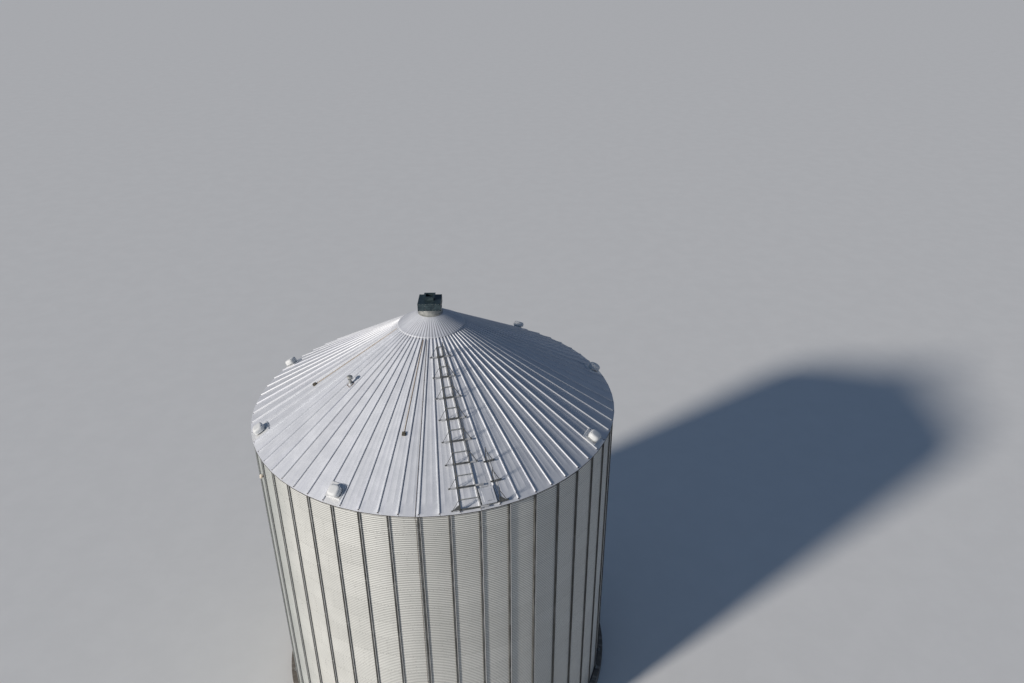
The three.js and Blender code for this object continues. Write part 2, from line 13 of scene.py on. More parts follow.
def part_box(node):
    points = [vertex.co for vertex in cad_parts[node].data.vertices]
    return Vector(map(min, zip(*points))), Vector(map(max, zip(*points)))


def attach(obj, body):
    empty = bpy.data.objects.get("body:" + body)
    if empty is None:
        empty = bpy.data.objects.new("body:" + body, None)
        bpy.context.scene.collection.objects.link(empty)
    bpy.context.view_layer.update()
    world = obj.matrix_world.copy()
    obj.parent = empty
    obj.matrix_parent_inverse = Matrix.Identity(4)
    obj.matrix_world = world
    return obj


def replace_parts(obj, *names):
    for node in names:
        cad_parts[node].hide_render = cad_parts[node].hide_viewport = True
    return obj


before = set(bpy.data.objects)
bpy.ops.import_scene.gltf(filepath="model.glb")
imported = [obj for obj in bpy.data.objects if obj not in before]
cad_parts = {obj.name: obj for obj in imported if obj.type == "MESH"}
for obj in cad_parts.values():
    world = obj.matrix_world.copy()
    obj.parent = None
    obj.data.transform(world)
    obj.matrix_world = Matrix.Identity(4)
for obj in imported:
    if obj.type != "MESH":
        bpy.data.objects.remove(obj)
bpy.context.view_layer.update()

BODY = "silo"
LID_BODY = "lid"
TURN = 2 * math.pi
UP = Vector((0, 0, 1))

# Main dimensions, read from the frame where it holds them
PLINTH_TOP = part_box("foundation_plinth")[1].z
PLINTH_R = 10.4
WALL_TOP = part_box("wall_sector_01")[1].z
WALL_R = 10.03
RING_COUNT = 16
RING_H = (WALL_TOP - PLINTH_TOP) / RING_COUNT
SECTORS = 11
STIFFENERS = 44
STIFF_PITCH = TURN / STIFFENERS
SHEETS_A_RING = 22
WALL_FACETS = 132
RIBS = 66
BAY = TURN / RIBS
HALF_BAY = BAY / 2
PITCH = math.radians(30)
RIB_PITCH = math.atan(math.tan(PITCH) * math.cos(HALF_BAY))
EAVE_R = 10.136
EAVE_RISE = 0.05
ROOF_IN_R = 1.7
RIB_H = 0.055

# Camera, fitted to the rib ends and stiffeners of the photograph
CAMERA_ANGLE = 0.1074
CAMERA_RANGE = 38.993
CAMERA_HEIGHT = WALL_TOP + 24.305
CAMERA_HEADING = 0.0051
CAMERA_PITCH = 0.4878
CAMERA_ROLL = -0.0039
LENS_MM = 28.10
SENSOR_MM = 36.0

# Low key light, from the side that the shadows in the photograph point away from, and a dim blue fill
KEY_ANGLE = math.radians(-54)
KEY_HEIGHT = math.radians(22)
KEY_SPREAD = math.radians(6)
KEY_STRENGTH = 3.5
KEY_COLOUR = (1.0, 0.925, 0.85)
FILL = (0.08, 0.115, 0.18)
BACKDROP = (0.80, 0.84, 0.90)
FLOOR_HALF = 3000.0

# Wall details
SECTOR_GAP = 0.0003
SKIN_GAP = 0.0004
WAVES_PER_RING = 10
WAVE_DEPTH = 0.014
ROWS_PER_RING = 40
RING_LAP = 0.003
# Phase of the waves where the dirt and painted shade are darkest
DIRT_AND_SHADE_PHASE = 1.25 * math.pi
# Side of the wall away from the key light, darkened as painted shade, where the painted shade in the waves
# is strongest too
SHADED_SIDE = math.radians(60)
# Side of the wall darkened as painted shade
GREY_SIDE = math.radians(-90)
# Side of the roof whose bays are lightened as painted light
LIT_SIDE = math.radians(-22)
# Angles over which the painted shade in the laps beside the ribs fades in
LAP_SHADE_FADE_FROM = math.radians(-65)
LAP_SHADE_FADE_TO = math.radians(-30)
WALL_SHEET_T = 0.003
SPANGLE_SCALE = 45.0
STIFF_DEPTH = 0.07
STIFF_FLOOR = 0.038
STIFF_MOUTH = 0.046
STIFF_LIP = 0.062
STIFF_T = 0.004
SPLICE_RINGS = 3
SPLICE_START = 0.3
SPLICE_L = 0.34
SPLICE_T = 0.005
SPLICE_GAP = 0.02
SPLICE_BOLTS = (-0.13, -0.06, 0.06, 0.13)
BOLT_R = 0.013
BOLT_H = 0.011
BOLT_TAPER = 0.84
BOLT_SIDES = 6
BOLT_SPACING = RING_H / 3.5
RING_BOLTS = 8
RING_BOLT_RISE = 0.026
LAP_BOLTS = 6
LAP_BOLT_SIZE = 0.85
LAP_HALF_W = 0.022
SEAM_SEAT_R = WALL_R - 0.006
LAP_SEAT_R = WALL_R - 0.007
SCREW_SIZE = 0.6
BAR_BOLT_SIZE = 0.8

# Roof details
ROOF_SHEET_T = 0.004
RIB_HALF_W = 0.045
RIB_HALF_TOP = 0.024
RIB_FILLET = 0.005
RIB_END_R = 10.045
MOUTH_W = 0.055
MOUTH_L = 0.04
SWAGE_SHARE = 0.4
SWAGE_HALF_W = 0.022
SWAGE_H = 0.004
DRIP = 0.028
CLOSURE_LOW = 0.055
CLOSURE_HIGH = 0.012
SEAT_OUT_R = 10.046
SEAT_IN_R = 9.95
RIB_SCREW_SPACING = 0.55
CAP_R = 1.8
CAP_IN_R = 0.56
CAP_T = 0.012
CAP_SEAT = 0.0016
CAP_LIP = 0.03
CAP_FOLD = 0.012

# Peak
COLLAR_R = 0.6
COLLAR_FLANGE_R = 0.68
COLLAR_FLANGE_T = 0.02
COLLAR_H = 0.26
COLLAR_BOLTS = 24
FRAME_W = 0.05
FRAME_T = 0.008
COVER_HALF_W = 0.24
INLET_W = 1.2
INLET_H = 0.42
NECK_H = 0.24
NECK_T = 0.012
NECK_FLANGE_W = 0.6

# Roof access
BAR_EDGE = 0.0015
STEP_BAY = 2.5
STEP_FOOT_R = 10.0
STEP_FIRST_R = 9.58
STEP_SPACING = 0.52
STEP_COUNT = 15
STEP_RADII = [STEP_FOOT_R] + [STEP_FIRST_R - i * STEP_SPACING for i in range(STEP_COUNT)]
STRINGER_W = 0.05
STRINGER_H = 0.04
STRINGER_T = 0.006
BAR_LOW = 0.072
BAR_HIGH = 0.112
BAR_THIN = 0.04
BAR_THICK = 0.08
BAR_T = 0.005
BAR_OVERHANG = 0.42
POST_H = 0.7
POST_W = 0.038
RAIL_W = 0.04
RAIL_R = 0.014
MID_RAIL_SHARE = 0.5
BRACE_SHARE = 0.8
BRACE_OUT = 0.37
BRACE_W = 0.026
WEB_RISE = 0.42
WEB_T = 0.005
GUARD_RIB = 4
GUARD_RADII = (9.97, 9.06, 8.15)
GUARD_BAR_L = 0.57

# Hatch
FLASHING_W = 0.055
FLASHING_LOW = 0.0045
FLASHING_HIGH = 0.009
HATCH_SECTOR = 0
HATCH_BAY = 3.5
HATCH_R = 9.6
HATCH_W = 0.64
HATCH_L = 0.78
HATCH_HOLE_W = 0.52
HATCH_HOLE_L = 0.66
HATCH_TOP = 0.1303
LID_W = 0.7
LID_T = 0.03
LID_OVERLAP = 0.03

# Vents
VENT_FIRST_BAY = 3.5
VENT_OFFSETS = (8, 16, 24, 33, 42, 50, 58)
VENT_R = 9.555
VENT_PLATE_W = 0.72
VENT_PLATE_L = 0.6
VENT_PLATE_H = 0.04
VENT_NECK = 0.38
HOOD_HALF = 0.3
HOOD_SHIFT = 0.055
HOOD_LOW = 0.14
HOOD_HIGH = 0.41
HOOD_ROUND = 0.13
HOOD_POWER = 3
HOOD_SIDES = 48
HOOD_SKIN_T = 0.004
WIRE_SPREAD = 0.97
GUARD_WIRES = 11
WIRE_R = 0.0025
CURB_LOW = -0.36
CURB_HIGH = 0.44
CURB_LEFT = -0.505
CURB_RIGHT = 0.37
CURB_TOP = 0.06
CURB_SLOPE = 0.03
APRON_W = 0.78
STACK_BAY = -9.5
STACK_R = 5.1
STACK_PLATE = 0.33
STACK_PLATE_H = 0.024
STACK_PIPE_R = 0.075
STACK_H = 0.52
STACK_CAP_R = 0.155
STACK_CAP_H = 0.08
STACK_RIM_H = 0.04
STACK_EDGE_W = 0.03

# Fittings
CONDUIT_R = 0.016
PEAK_GAP = 0.06
SENSORS = (("front", -1.5, 6.56), ("left", -13.5, 6.49))
SENSOR_W = 0.15
SENSOR_L = 0.19
SENSOR_H = 0.095
CLIP_SPACING = 0.7
ROD_BAY = -0.5
ROD_OFF_TOP = 0.072
ROD_OFF_EAVE = 0.15
ROD_EAVE_R = 10.185
ROD_WALL_OFF = 0.03
ROD_CLIPS = 8
LAMP_ANGLE = math.radians(-60)
LAMP_DROP = 1.45
LAMP_R = 0.085
LAMP_L = 0.32
LAMP_OUT = 0.11
LAMP_SIDES = 28
LAMP_FINS = 4
LAMP_FIN_SPACING = 0.035
LAMP_LEAN = math.radians(-35)
PLINTH_SIDES = 264
PLINTH_CHAMFER = 0.02
FILLET = 0.06
ANCHOR_T = 0.015
ANCHOR_HALF_W = 0.11
ANCHOR_REACH = 0.12
ANCHOR_BOLT_SIZE = 1.5
GUSSET_H = 0.185
GUSSET_T = 0.008


def outward(angle):
    return Vector((math.sin(angle), -math.cos(angle), 0))


def sideways(angle):
    return Vector((math.cos(angle), math.sin(angle), 0))


def roof_z(corner_r):
    return WALL_TOP + EAVE_RISE + (EAVE_R - corner_r) * math.cos(HALF_BAY) * math.tan(PITCH)


def shift(x, y, z):
    return Matrix.Translation((x, y, z))


def axes_at(x, y, z, point):
    """Matrix of a place with these three axes at a point."""
    place = Matrix((x, y, z)).transposed().to_4x4()
    place.translation = point
    return place


def square_to(angle, pitch):
    """Direction square to a slope of the roof."""
    return outward(angle) * math.sin(pitch) + UP * math.cos(pitch)


def slope_frame(angle, pitch, r, corner_r):
    """Matrix of a place on the roof: x along the eave, y up the slope, z square to it."""
    up_slope = UP * math.sin(pitch) - outward(angle) * math.cos(pitch)
    point = outward(angle) * r + UP * roof_z(corner_r)
    return axes_at(sideways(angle), up_slope, square_to(angle, pitch), point)


def bay_frame(bay, mid_r):
    return slope_frame(bay * BAY, PITCH, mid_r, mid_r / math.cos(HALF_BAY))


def rib_frame(rib, corner_r):
    return slope_frame(rib * BAY, RIB_PITCH, corner_r, corner_r)


def wall_frame(angle, r, z):
    """Matrix of a place on the wall: x to the left seen from outside, y outward, z up."""
    return axes_at(-sideways(angle), outward(angle), UP, outward(angle) * r + UP * z)


def out_of_wall(angle, r, z, slide=0.0):
    """Place whose z points out of the wall, slid sideways along it."""
    point = outward(angle) * r + sideways(angle) * slide + UP * z
    return axes_at(sideways(angle), UP, outward(angle), point)


def new_object(name, data):
    item = bpy.data.objects.new(name, data)
    bpy.context.scene.collection.objects.link(item)
    return item


def stacked(rings):
    """Closed body through rings of points, each listed anticlockwise, with as many points in each."""
    n = len(rings[0])
    points = [tuple(point) for ring in rings for point in ring]
    last = len(points) - n
    faces = [tuple(reversed(range(n))), tuple(range(last, last + n))]
    for low in range(0, last, n):
        faces += [(low + i, low + (i + 1) % n, low + n + (i + 1) % n, low + n + i) for i in range(n)]
    return points, faces


def rectangle(left, low, right, high):
    return [(left, low), (right, low), (right, high), (left, high)]


def prism(outline, low, high):
    """Closed prism of a flat outline, listed anticlockwise, between two heights."""
    return stacked([[(x, y, z) for x, y in outline] for z in (low, high)])


def box(low, high):
    """Closed box between two corners."""
    (left, near, bottom), (right, far, top) = low, high
    return prism(rectangle(left, near, right, far), bottom, top)


def block(half_x, half_y, low, high):
    """Closed box over the middle of the XY plane."""
    return box((-half_x, -half_y, low), (half_x, half_y, high))


def pressing(left, near, right, far, lean, low, high):
    """Closed body over a rectangle, with sides that lean in towards its top."""
    foot = rectangle(left, near, right, far)
    top = rectangle(left + lean, near + lean, right - lean, far - lean)
    return stacked([[(x, y, low) for x, y in foot], [(x, y, high) for x, y in top]])


def turned(profile, sides, start=0.0, power=2):
    """Closed body turned round Z, from its first pole to its last. Powers above 2 square its plan."""
    plan = []
    for i in range(sides):
        a = start + TURN * i / sides
        c, s = math.cos(a), math.sin(a)
        reach = (abs(c) ** power + abs(s) ** power) ** (-1 / power)
        plan.append((reach * c, reach * s))
    return stacked([[(r * x, r * y, z) for x, y in plan] for r, z in profile])


def ring_of(profiles):
    """Closed ring round the axis, with one profile (radius, z) a column, listed anticlockwise."""
    sides = len(profiles)
    n = len(profiles[0])
    points = []
    faces = []
    for i, profile in enumerate(profiles):
        j = (i + 1) % sides
        points += [(*(outward(TURN * i / sides) * r).xy, z) for r, z in profile]
        faces += [(i * n + k, j * n + k, j * n + (k + 1) % n, i * n + (k + 1) % n) for k in range(n)]
    return points, faces


def hoop(profile, sides):
    return ring_of([profile] * sides)


def plate(corners, thick):
    """Flat plate over a list of corners, half its thickness on either side of them."""
    corners = [Vector(corner) for corner in corners]
    half = (corners[1] - corners[0]).cross(corners[2] - corners[0]).normalized() * thick / 2
    return stacked([[corner + half * side for corner in corners] for side in (-1, 1)])


def tube(path, radius, sides):
    """Closed round tube along a path of points."""
    path = [Vector(point) for point in path]
    along = [(after - before).normalized() for before, after in zip(path[:1] + path, path[1:] + path[-1:])]
    side = along[0].orthogonal()
    rings = []
    for centre, direction in zip(path, along):
        side = (side - direction * side.dot(direction)).normalized()
        other = direction.cross(side)
        angles = [TURN * i / sides for i in range(sides)]
        rings.append([centre + radius * (side * math.cos(a) + other * math.sin(a)) for a in angles])
    return stacked(rings)


def shell(outer, inner):
    """Closed sheet between two grids of points, each (rows, columns, 3), outer face first."""
    rows, columns = outer.shape[:2]
    points = np.concatenate([outer.reshape(-1, 3), inner.reshape(-1, 3)])
    grid = np.arange(rows * columns).reshape(rows, columns)
    under = grid + rows * columns
    faces = []

    def quads(*corners):
        faces.extend(zip(*[corner.ravel().tolist() for corner in corners]))

    quads(grid[:-1, :-1], grid[:-1, 1:], grid[1:, 1:], grid[1:, :-1])
    quads(under[:-1, :-1], under[1:, :-1], under[1:, 1:], under[:-1, 1:])
    quads(grid[0, :-1], under[0, :-1], under[0, 1:], grid[0, 1:])
    quads(grid[-1, :-1], grid[-1, 1:], under[-1, 1:], under[-1, :-1])
    quads(grid[:-1, 0], grid[1:, 0], under[1:, 0], under[:-1, 0])
    quads(grid[:-1, -1], under[:-1, -1], under[1:, -1], grid[1:, -1])
    return points, faces


# Hexagon head of a bolt, narrowing slightly, that stands on the XY plane
BOLT_HEAD = turned([(BOLT_R, 0.0), (BOLT_R * BOLT_TAPER, BOLT_H)], BOLT_SIDES)


class Shape:
    """Collects closed bodies and turns them into one mesh object."""

    def __init__(self):
        self.points = []
        self.faces = []

    def add(self, body, place=Matrix()):
        points, faces = body
        base = len(self.points)
        matrix = np.array(place)
        self.points.extend(map(tuple, np.asarray(points) @ matrix[:3, :3].T + matrix[:3, 3]))
        self.faces.extend(tuple(base + i for i in face) for face in faces)
        return self

    def bolt(self, place, size=1.0):
        points, faces = BOLT_HEAD
        self.add((np.array(points) * size, faces), place)

    def bolts(self, place, columns, rows, z, size):
        """Bolts at every x of the columns and every y of the rows."""
        for x in columns:
            for y in rows:
                self.bolt(place @ shift(x, y, z), size)

    def build(self, name, material, body=BODY, smooth=None, bevel=0, slot="steel_bar"):
        mesh = bpy.data.meshes.new(name)
        mesh.from_pydata(self.points, [], self.faces)
        mesh.update()
        mesh.materials.append(material)
        if smooth is not None:
            mesh.shade_smooth()
            mesh.set_sharp_from_angle(angle=math.radians(smooth))
        piece = new_object(name, mesh)
        if bevel:
            rounding = piece.modifiers.new("edges", "BEVEL")
            rounding.width = bevel
            rounding.segments = 2
            rounding.limit_method = "ANGLE"
            rounding.angle_limit = math.radians(40)
        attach(piece, body)
        return piece


class Value:
    """Output of a node in a paint. Each sum on it makes a math node."""

    def __init__(self, paint, socket):
        self.paint = paint
        self.socket = socket

    def then(self, operation, other=0.0):
        return self.paint.node("Math", 0, {0: self, 1: other}, operation=operation)

    def __add__(self, other):
        return self.then("ADD", other)

    def __sub__(self, other):
        return self.then("SUBTRACT", other)

    def __mul__(self, other):
        return self.then("MULTIPLY", other)

    def __truediv__(self, other):
        return self.then("DIVIDE", other)

    def span(self, low, high, to_low=0.0, to_high=1.0):
        """The value moved from one range to another, clamped, with soft ends."""
        ends = {"Value": self, "From Min": low, "From Max": high, "To Min": to_low, "To Max": to_high}
        return self.paint.node("MapRange", "Result", ends, interpolation_type="SMOOTHSTEP")


class Paint:
    """A procedural material on one Principled shader. Its colour is laid on in coats."""

    def __init__(self, name, metallic, roughness, colour):
        self.material = bpy.data.materials.new(name)
        self.material.use_nodes = True
        self.tree = self.material.node_tree
        self.shader = self.tree.nodes["Principled BSDF"]
        self.shader.inputs["Metallic"].default_value = metallic
        self.shader.inputs["Roughness"].default_value = roughness
        self.colour = colour
        self.place = self.node("TexCoord", "Object", {})
        self.x, self.y, self.z = (self.node("SeparateXYZ", axis, {0: self.place}) for axis in "XYZ")

    def link(self, value, target):
        if isinstance(value, Value):
            self.tree.links.new(value.socket, target)
        elif isinstance(value, tuple):
            target.default_value = (*value, 1.0)
        else:
            target.default_value = value

    def node(self, kind, output, inputs, **settings):
        """One output of a new node, whose inputs are numbers, colours or values."""
        node = self.tree.nodes.new("ShaderNode" + kind)
        for name, setting in settings.items():
            setattr(node, name, setting)
        for name, value in inputs.items():
            self.link(value, node.inputs[name])
        return Value(self, node.outputs[output])

    def vector(self, x, y, z=0.0):
        return self.node("CombineXYZ", 0, {0: x, 1: y, 2: z})

    def noise(self, scale, detail, rough=0.5, where=None):
        inputs = {"Vector": where or self.place, "Scale": scale, "Detail": detail, "Roughness": rough}
        return self.node("TexNoise", "Fac", inputs)

    def spangle(self):
        """Crystals of the zinc, each with a grey of its own."""
        cells = self.node("TexVoronoi", "Color", {"Vector": self.place, "Scale": SPANGLE_SCALE})
        return self.node("SeparateColor", 0, {0: cells})

    def random(self, x, y, z=0.0):
        return self.node("TexWhiteNoise", "Value", {"Vector": self.vector(x, y, z)}, noise_dimensions="3D")

    def lay(self, amount, colour):
        """Lay a colour over the coats so far."""
        inputs = {"Factor": amount, "A": self.colour, "B": colour}
        self.colour = self.node("Mix", "Result", inputs, data_type="RGBA")

    def shade(self, amount):
        """Multiply the coats so far by a grey amount."""
        grey = self.node("CombineColor", 0, {0: amount, 1: amount, 2: amount})
        inputs = {"Factor": 1.0, "A": self.colour, "B": grey}
        self.colour = self.node("Mix", "Result", inputs, data_type="RGBA", blend_type="MULTIPLY")

    def finish(self, roughness, height, depth):
        bump = self.node("Bump", 0, {"Strength": 1.0, "Distance": depth, "Height": height})
        for name, value in (("Base Color", self.colour), ("Roughness", roughness), ("Normal", bump)):
            self.link(value, self.shader.inputs[name])
        return self.material

    def polar(self):
        """Angle in radians from the -Y side, and distance from the silo's axis."""
        return self.x.then("ARCTAN2", self.y * -1.0), (self.x * self.x + self.y * self.y).then("SQRT")


def roof_paint():
    """Weathered galvanised roof sheet: tone by bay, streaks down the slope, painted light on the key light's
    side, dark laps beside the ribs with painted shade.
    """
    paint = Paint("roof_sheet_zinc", 0.2, 0.5, (0.635, 0.66, 0.695))
    angle, radius = paint.polar()
    bays = angle / BAY
    bay = bays.then("FLOOR")
    streak = paint.noise(1.0, 4.0, 0.6, paint.vector(bays * 11.0, radius * 0.25, bay))
    bloom = paint.noise(1.3, 5.0, 0.6)
    spangle = paint.spangle()
    paint.lay(bloom.span(0.35, 0.65), (0.68, 0.705, 0.74))
    paint.lay(streak.span(0.46, 0.66, 0.0, 0.5), (0.57, 0.59, 0.66))
    paint.shade(paint.random(bay, 3.0).span(0.0, 1.0, 0.95, 1.03))
    paint.shade(spangle.span(0.0, 1.0, 0.97, 1.03))
    # Painted light: the bays towards the key light are lighter
    paint.shade((angle - LIT_SIDE).then("COSINE").span(0.3, 1.0, 0.94, 1.13))
    # Dark side laps at each rib's right foot, deepened as painted shade of the rib, faded out where the key
    # light runs along the ribs
    beside = ((bays + 0.5).then("FRACT") - 0.5) * BAY * radius
    lap_and_shade = beside.span(RIB_HALF_W - 0.012, RIB_HALF_W - 0.004)
    lap_and_shade *= beside.span(RIB_HALF_W + 0.012, RIB_HALF_W + 0.018, 1.0, 0.0)
    paint.lay(lap_and_shade * angle.span(LAP_SHADE_FADE_FROM, LAP_SHADE_FADE_TO, 0.0, 0.75), (0.20, 0.18, 0.19))
    return paint.finish((bloom + spangle * 0.2).span(0.3, 0.9, 0.44, 0.6), bloom, 0.004)


def across_stiffener(angle):
    """Distance along the wall from the nearest stiffener's middle, positive to its right."""
    return ((angle / STIFF_PITCH + 0.5).then("FRACT") - 0.5) * (STIFF_PITCH * WALL_R)


def wall_paint():
    """Weathered galvanised wall sheet: tone by sheet, dirt and painted shade in the waves, painted shade
    beside the stiffeners and on two sides.
    """
    paint = Paint("wall_sheet_zinc", 0.2, 0.45, (0.57, 0.58, 0.55))
    angle, _ = paint.polar()
    rise = paint.z - PLINTH_TOP
    ring = (rise / RING_H).then("FLOOR")
    sheet = (angle / (TURN / SHEETS_A_RING) + ring.then("MODULO", 2.0) * 0.5).then("FLOOR")
    streak = paint.noise(1.0, 4.0, 0.6, paint.vector(angle * WALL_R * 5.0, paint.z * 0.35))
    cloud = paint.noise(0.35, 4.0, 0.6)
    spangle = paint.spangle()
    paint.lay(cloud.span(0.35, 0.65), (0.615, 0.625, 0.595))
    paint.lay(streak.span(0.52, 0.75, 0.0, 0.25), (0.50, 0.50, 0.47))
    wave = (rise * (TURN * WAVES_PER_RING / RING_H) - DIRT_AND_SHADE_PHASE).then("COSINE")
    hollow = (wave * 0.5 + 0.5).then("POWER", 2.0)
    side = (angle - SHADED_SIDE).then("COSINE")
    # Dirt and painted shade in the hollows, painted light between. The mean of the hollows is 0.375, so the
    # wall keeps its mean tone
    paint.shade((hollow * -1.0 + 0.375) * side.span(-0.1, 0.5, 0.32, 1.0) + 1.0)
    # Painted shade: the side away from the key light is darker
    paint.shade(side.span(0.25, 0.6, 1.0, 0.81))
    # Painted shade: the wall turns darker and greener towards its far left side
    paint.lay((angle - GREY_SIDE).then("COSINE").span(0.6, 0.92), (0.39, 0.42, 0.405))
    # Painted shade on the wall just beside each stiffener's lips
    beside = across_stiffener(angle).then("ABSOLUTE")
    paint.lay(beside.span(STIFF_LIP + 0.005, STIFF_LIP + 0.03, 0.5, 0.0), (0.05, 0.05, 0.045))
    paint.lay(paint.z.span(PLINTH_TOP, PLINTH_TOP + 2.5, 0.35, 0.0), (0.38, 0.36, 0.32))
    paint.shade(paint.random(sheet, ring, 1.0).span(0.0, 1.0, 0.97, 1.02))
    paint.shade(spangle.span(0.0, 1.0, 0.97, 1.03))
    return paint.finish(cloud.span(0.3, 0.7, 0.42, 0.52), spangle, 0.0003)


def stiffener_paint():
    """Thick zinc of the stiffeners: mottled floor, painted shade on the left lip, painted light on the right
    lip, a little rust.
    """
    paint = Paint("stiffener_zinc", 0.2, 0.55, (0.20, 0.20, 0.18))
    angle, _ = paint.polar()
    which = (angle / STIFF_PITCH + 0.5).then("FLOOR")
    length = (paint.z / (SPLICE_RINGS * RING_H)).then("FLOOR")
    runs = paint.noise(1.0, 4.0, where=paint.vector(angle * 90.0, paint.z * 0.8))
    paint.lay(runs.span(0.4, 0.65), (0.42, 0.42, 0.40))
    paint.shade(paint.random(which, length).span(0.0, 1.0, 0.9, 1.08))
    paint.lay(paint.noise(3.1, 6.0, 0.7).span(0.64, 0.74, 0.0, 0.4), (0.30, 0.20, 0.12))
    across = across_stiffener(angle)
    # Painted light on the right flank and lip, painted shade on the left flank and lip
    paint.lay(across.span(STIFF_FLOOR, STIFF_MOUTH), (0.62, 0.63, 0.63))
    paint.lay(across.span(-STIFF_MOUTH, -STIFF_FLOOR, 1.0, 0.0), (0.09, 0.085, 0.075))
    return paint.finish(runs.span(0.3, 0.7, 0.48, 0.62), runs, 0.0006)


def bar_paint(name, dark, light, rusty=0.02):
    """Hot dip galvanised bars: cloudy grey with rust at places."""
    paint = Paint(name, 0.4, 0.55, dark)
    cloud = paint.noise(6.0, 5.0, 0.6)
    spots = paint.noise(17.0, 6.0, 0.7)
    paint.lay(cloud.span(0.35, 0.65), light)
    paint.lay(spots.span(0.72 - rusty, 0.82 - rusty, 0.0, 0.7), (0.27, 0.15, 0.08))
    return paint.finish(cloud.span(0.3, 0.7, 0.45, 0.65), spots, 0.0005)


def concrete_paint():
    """Blackened cast concrete: pores, a damp foot and pale runs from the rim."""
    paint = Paint("plinth_concrete", 0.0, 0.85, (0.12, 0.105, 0.09))
    angle, _ = paint.polar()
    grain = paint.noise(2.2, 8.0, 0.65)
    runs = paint.noise(1.0, 5.0, 0.65, paint.vector(angle * PLINTH_R * 3.0, paint.z * 0.6))
    pores = paint.noise(42.0, 3.0, 0.6)
    paint.lay(grain.span(0.3, 0.7), (0.2, 0.18, 0.155))
    paint.lay(runs.span(0.52, 0.66, 0.0, 0.6), (0.36, 0.34, 0.31))
    paint.lay(paint.z.span(0.0, 0.22, 0.45, 0.0), (0.09, 0.08, 0.07))
    paint.shade(pores.span(0.3, 0.7, 0.92, 1.05))
    return paint.finish(runs.span(0.3, 0.7, 0.9, 0.75), grain + pores * 0.35, 0.006)


def apron_paint():
    """Newer, lighter sheet under the vents, with dried water marks."""
    paint = Paint("apron_zinc", 0.3, 0.45, (0.75, 0.765, 0.77))
    cloud = paint.noise(2.6, 6.0, 0.6)
    marks = paint.noise(9.0, 5.0, 0.7)
    paint.lay(cloud.span(0.35, 0.65), (0.80, 0.815, 0.82))
    paint.lay(marks.span(0.58, 0.7, 0.0, 0.3), (0.66, 0.62, 0.55))
    return paint.finish(marks.span(0.3, 0.7, 0.35, 0.55), cloud, 0.002)


def plain_paint(name, colour_a, colour_b, metallic, rough_low, rough_high, scale=5.0, depth=0.0004):
    """Painted or rubbery surface with slight weathering."""
    paint = Paint(name, metallic, rough_low, colour_a)
    cloud = paint.noise(scale, 6.0, 0.65)
    paint.lay(cloud.span(0.35, 0.68), colour_b)
    return paint.finish(cloud.span(0.3, 0.7, rough_low, rough_high), paint.noise(scale * 12, 3.0), depth)


ROOF = roof_paint()
WALL = wall_paint()
STIFF = stiffener_paint()
BAR = bar_paint("bar_zinc", (0.30, 0.31, 0.30), (0.42, 0.43, 0.41))
# Painted shade and painted light: darkened and lightened copies of the bar zinc
SHADED_BAR = bar_paint("shaded_bar_zinc", (0.10, 0.105, 0.10), (0.18, 0.185, 0.18))
LIT_BAR = bar_paint("lit_bar_zinc", (0.55, 0.56, 0.56), (0.66, 0.67, 0.67))
BOLT = bar_paint("bolt_zinc", (0.40, 0.40, 0.38), (0.52, 0.52, 0.50), 0.05)
RUST = bar_paint("rusty_steel", (0.13, 0.085, 0.06), (0.21, 0.14, 0.10), 0.15)
OLIVE = bar_paint("dull_housing", (0.10, 0.09, 0.07), (0.17, 0.15, 0.11), 0.15)
TAN = plain_paint("tan_conduit", (0.40, 0.31, 0.21), (0.52, 0.42, 0.30), 0.0, 0.6, 0.8)
ROD = bar_paint("dull_rod", (0.10, 0.085, 0.075), (0.17, 0.14, 0.12), 0.1)
CONCRETE = concrete_paint()
# Near-black blue-grey of the inlet box and its frames: partly its paint, partly painted shade
DARK = plain_paint("dark_paint", (0.018, 0.035, 0.045), (0.05, 0.08, 0.09), 0.2, 0.4, 0.6)
CREAM = plain_paint("cream_paint", (0.74, 0.66, 0.54), (0.84, 0.77, 0.65), 0.0, 0.4, 0.55)
SHADE = plain_paint("vent_inside", (0.02, 0.022, 0.025), (0.035, 0.035, 0.04), 0.0, 0.8, 0.9)
FLOOR = plain_paint("floor_pale", (0.77, 0.78, 0.77), (0.79, 0.80, 0.79), 0.0, 0.95, 1.0, 0.4, 0.0)
GLASS = plain_paint("lamp_glass", (0.03, 0.035, 0.04), (0.05, 0.055, 0.06), 0.0, 0.08, 0.2)
APRON = apron_paint()
HOOD = plain_paint("hood_zinc", (0.70, 0.72, 0.72), (0.75, 0.77, 0.77), 0.1, 0.6, 0.7, 3.0)
# Black bitumen, also used as painted shade for the rib ends
BITUMEN_AND_SHADE = plain_paint("bitumen", (0.02, 0.018, 0.016), (0.06, 0.05, 0.045), 0.0, 0.6, 0.85)


def set_camera():
    data = bpy.data.cameras.new("camera")
    data.lens = LENS_MM
    data.sensor_width = SENSOR_MM
    data.sensor_fit = "HORIZONTAL"
    data.clip_end = 2 * FLOOR_HALF
    camera = new_object("camera", data)
    right = sideways(-CAMERA_HEADING)
    back = outward(-CAMERA_HEADING) * math.cos(CAMERA_PITCH) + UP * math.sin(CAMERA_PITCH)
    point = outward(CAMERA_ANGLE) * CAMERA_RANGE + UP * CAMERA_HEIGHT
    level = axes_at(right, back.cross(right), back, point)
    camera.matrix_world = level @ Matrix.Rotation(CAMERA_ROLL, 4, "Z")
    bpy.context.scene.camera = camera


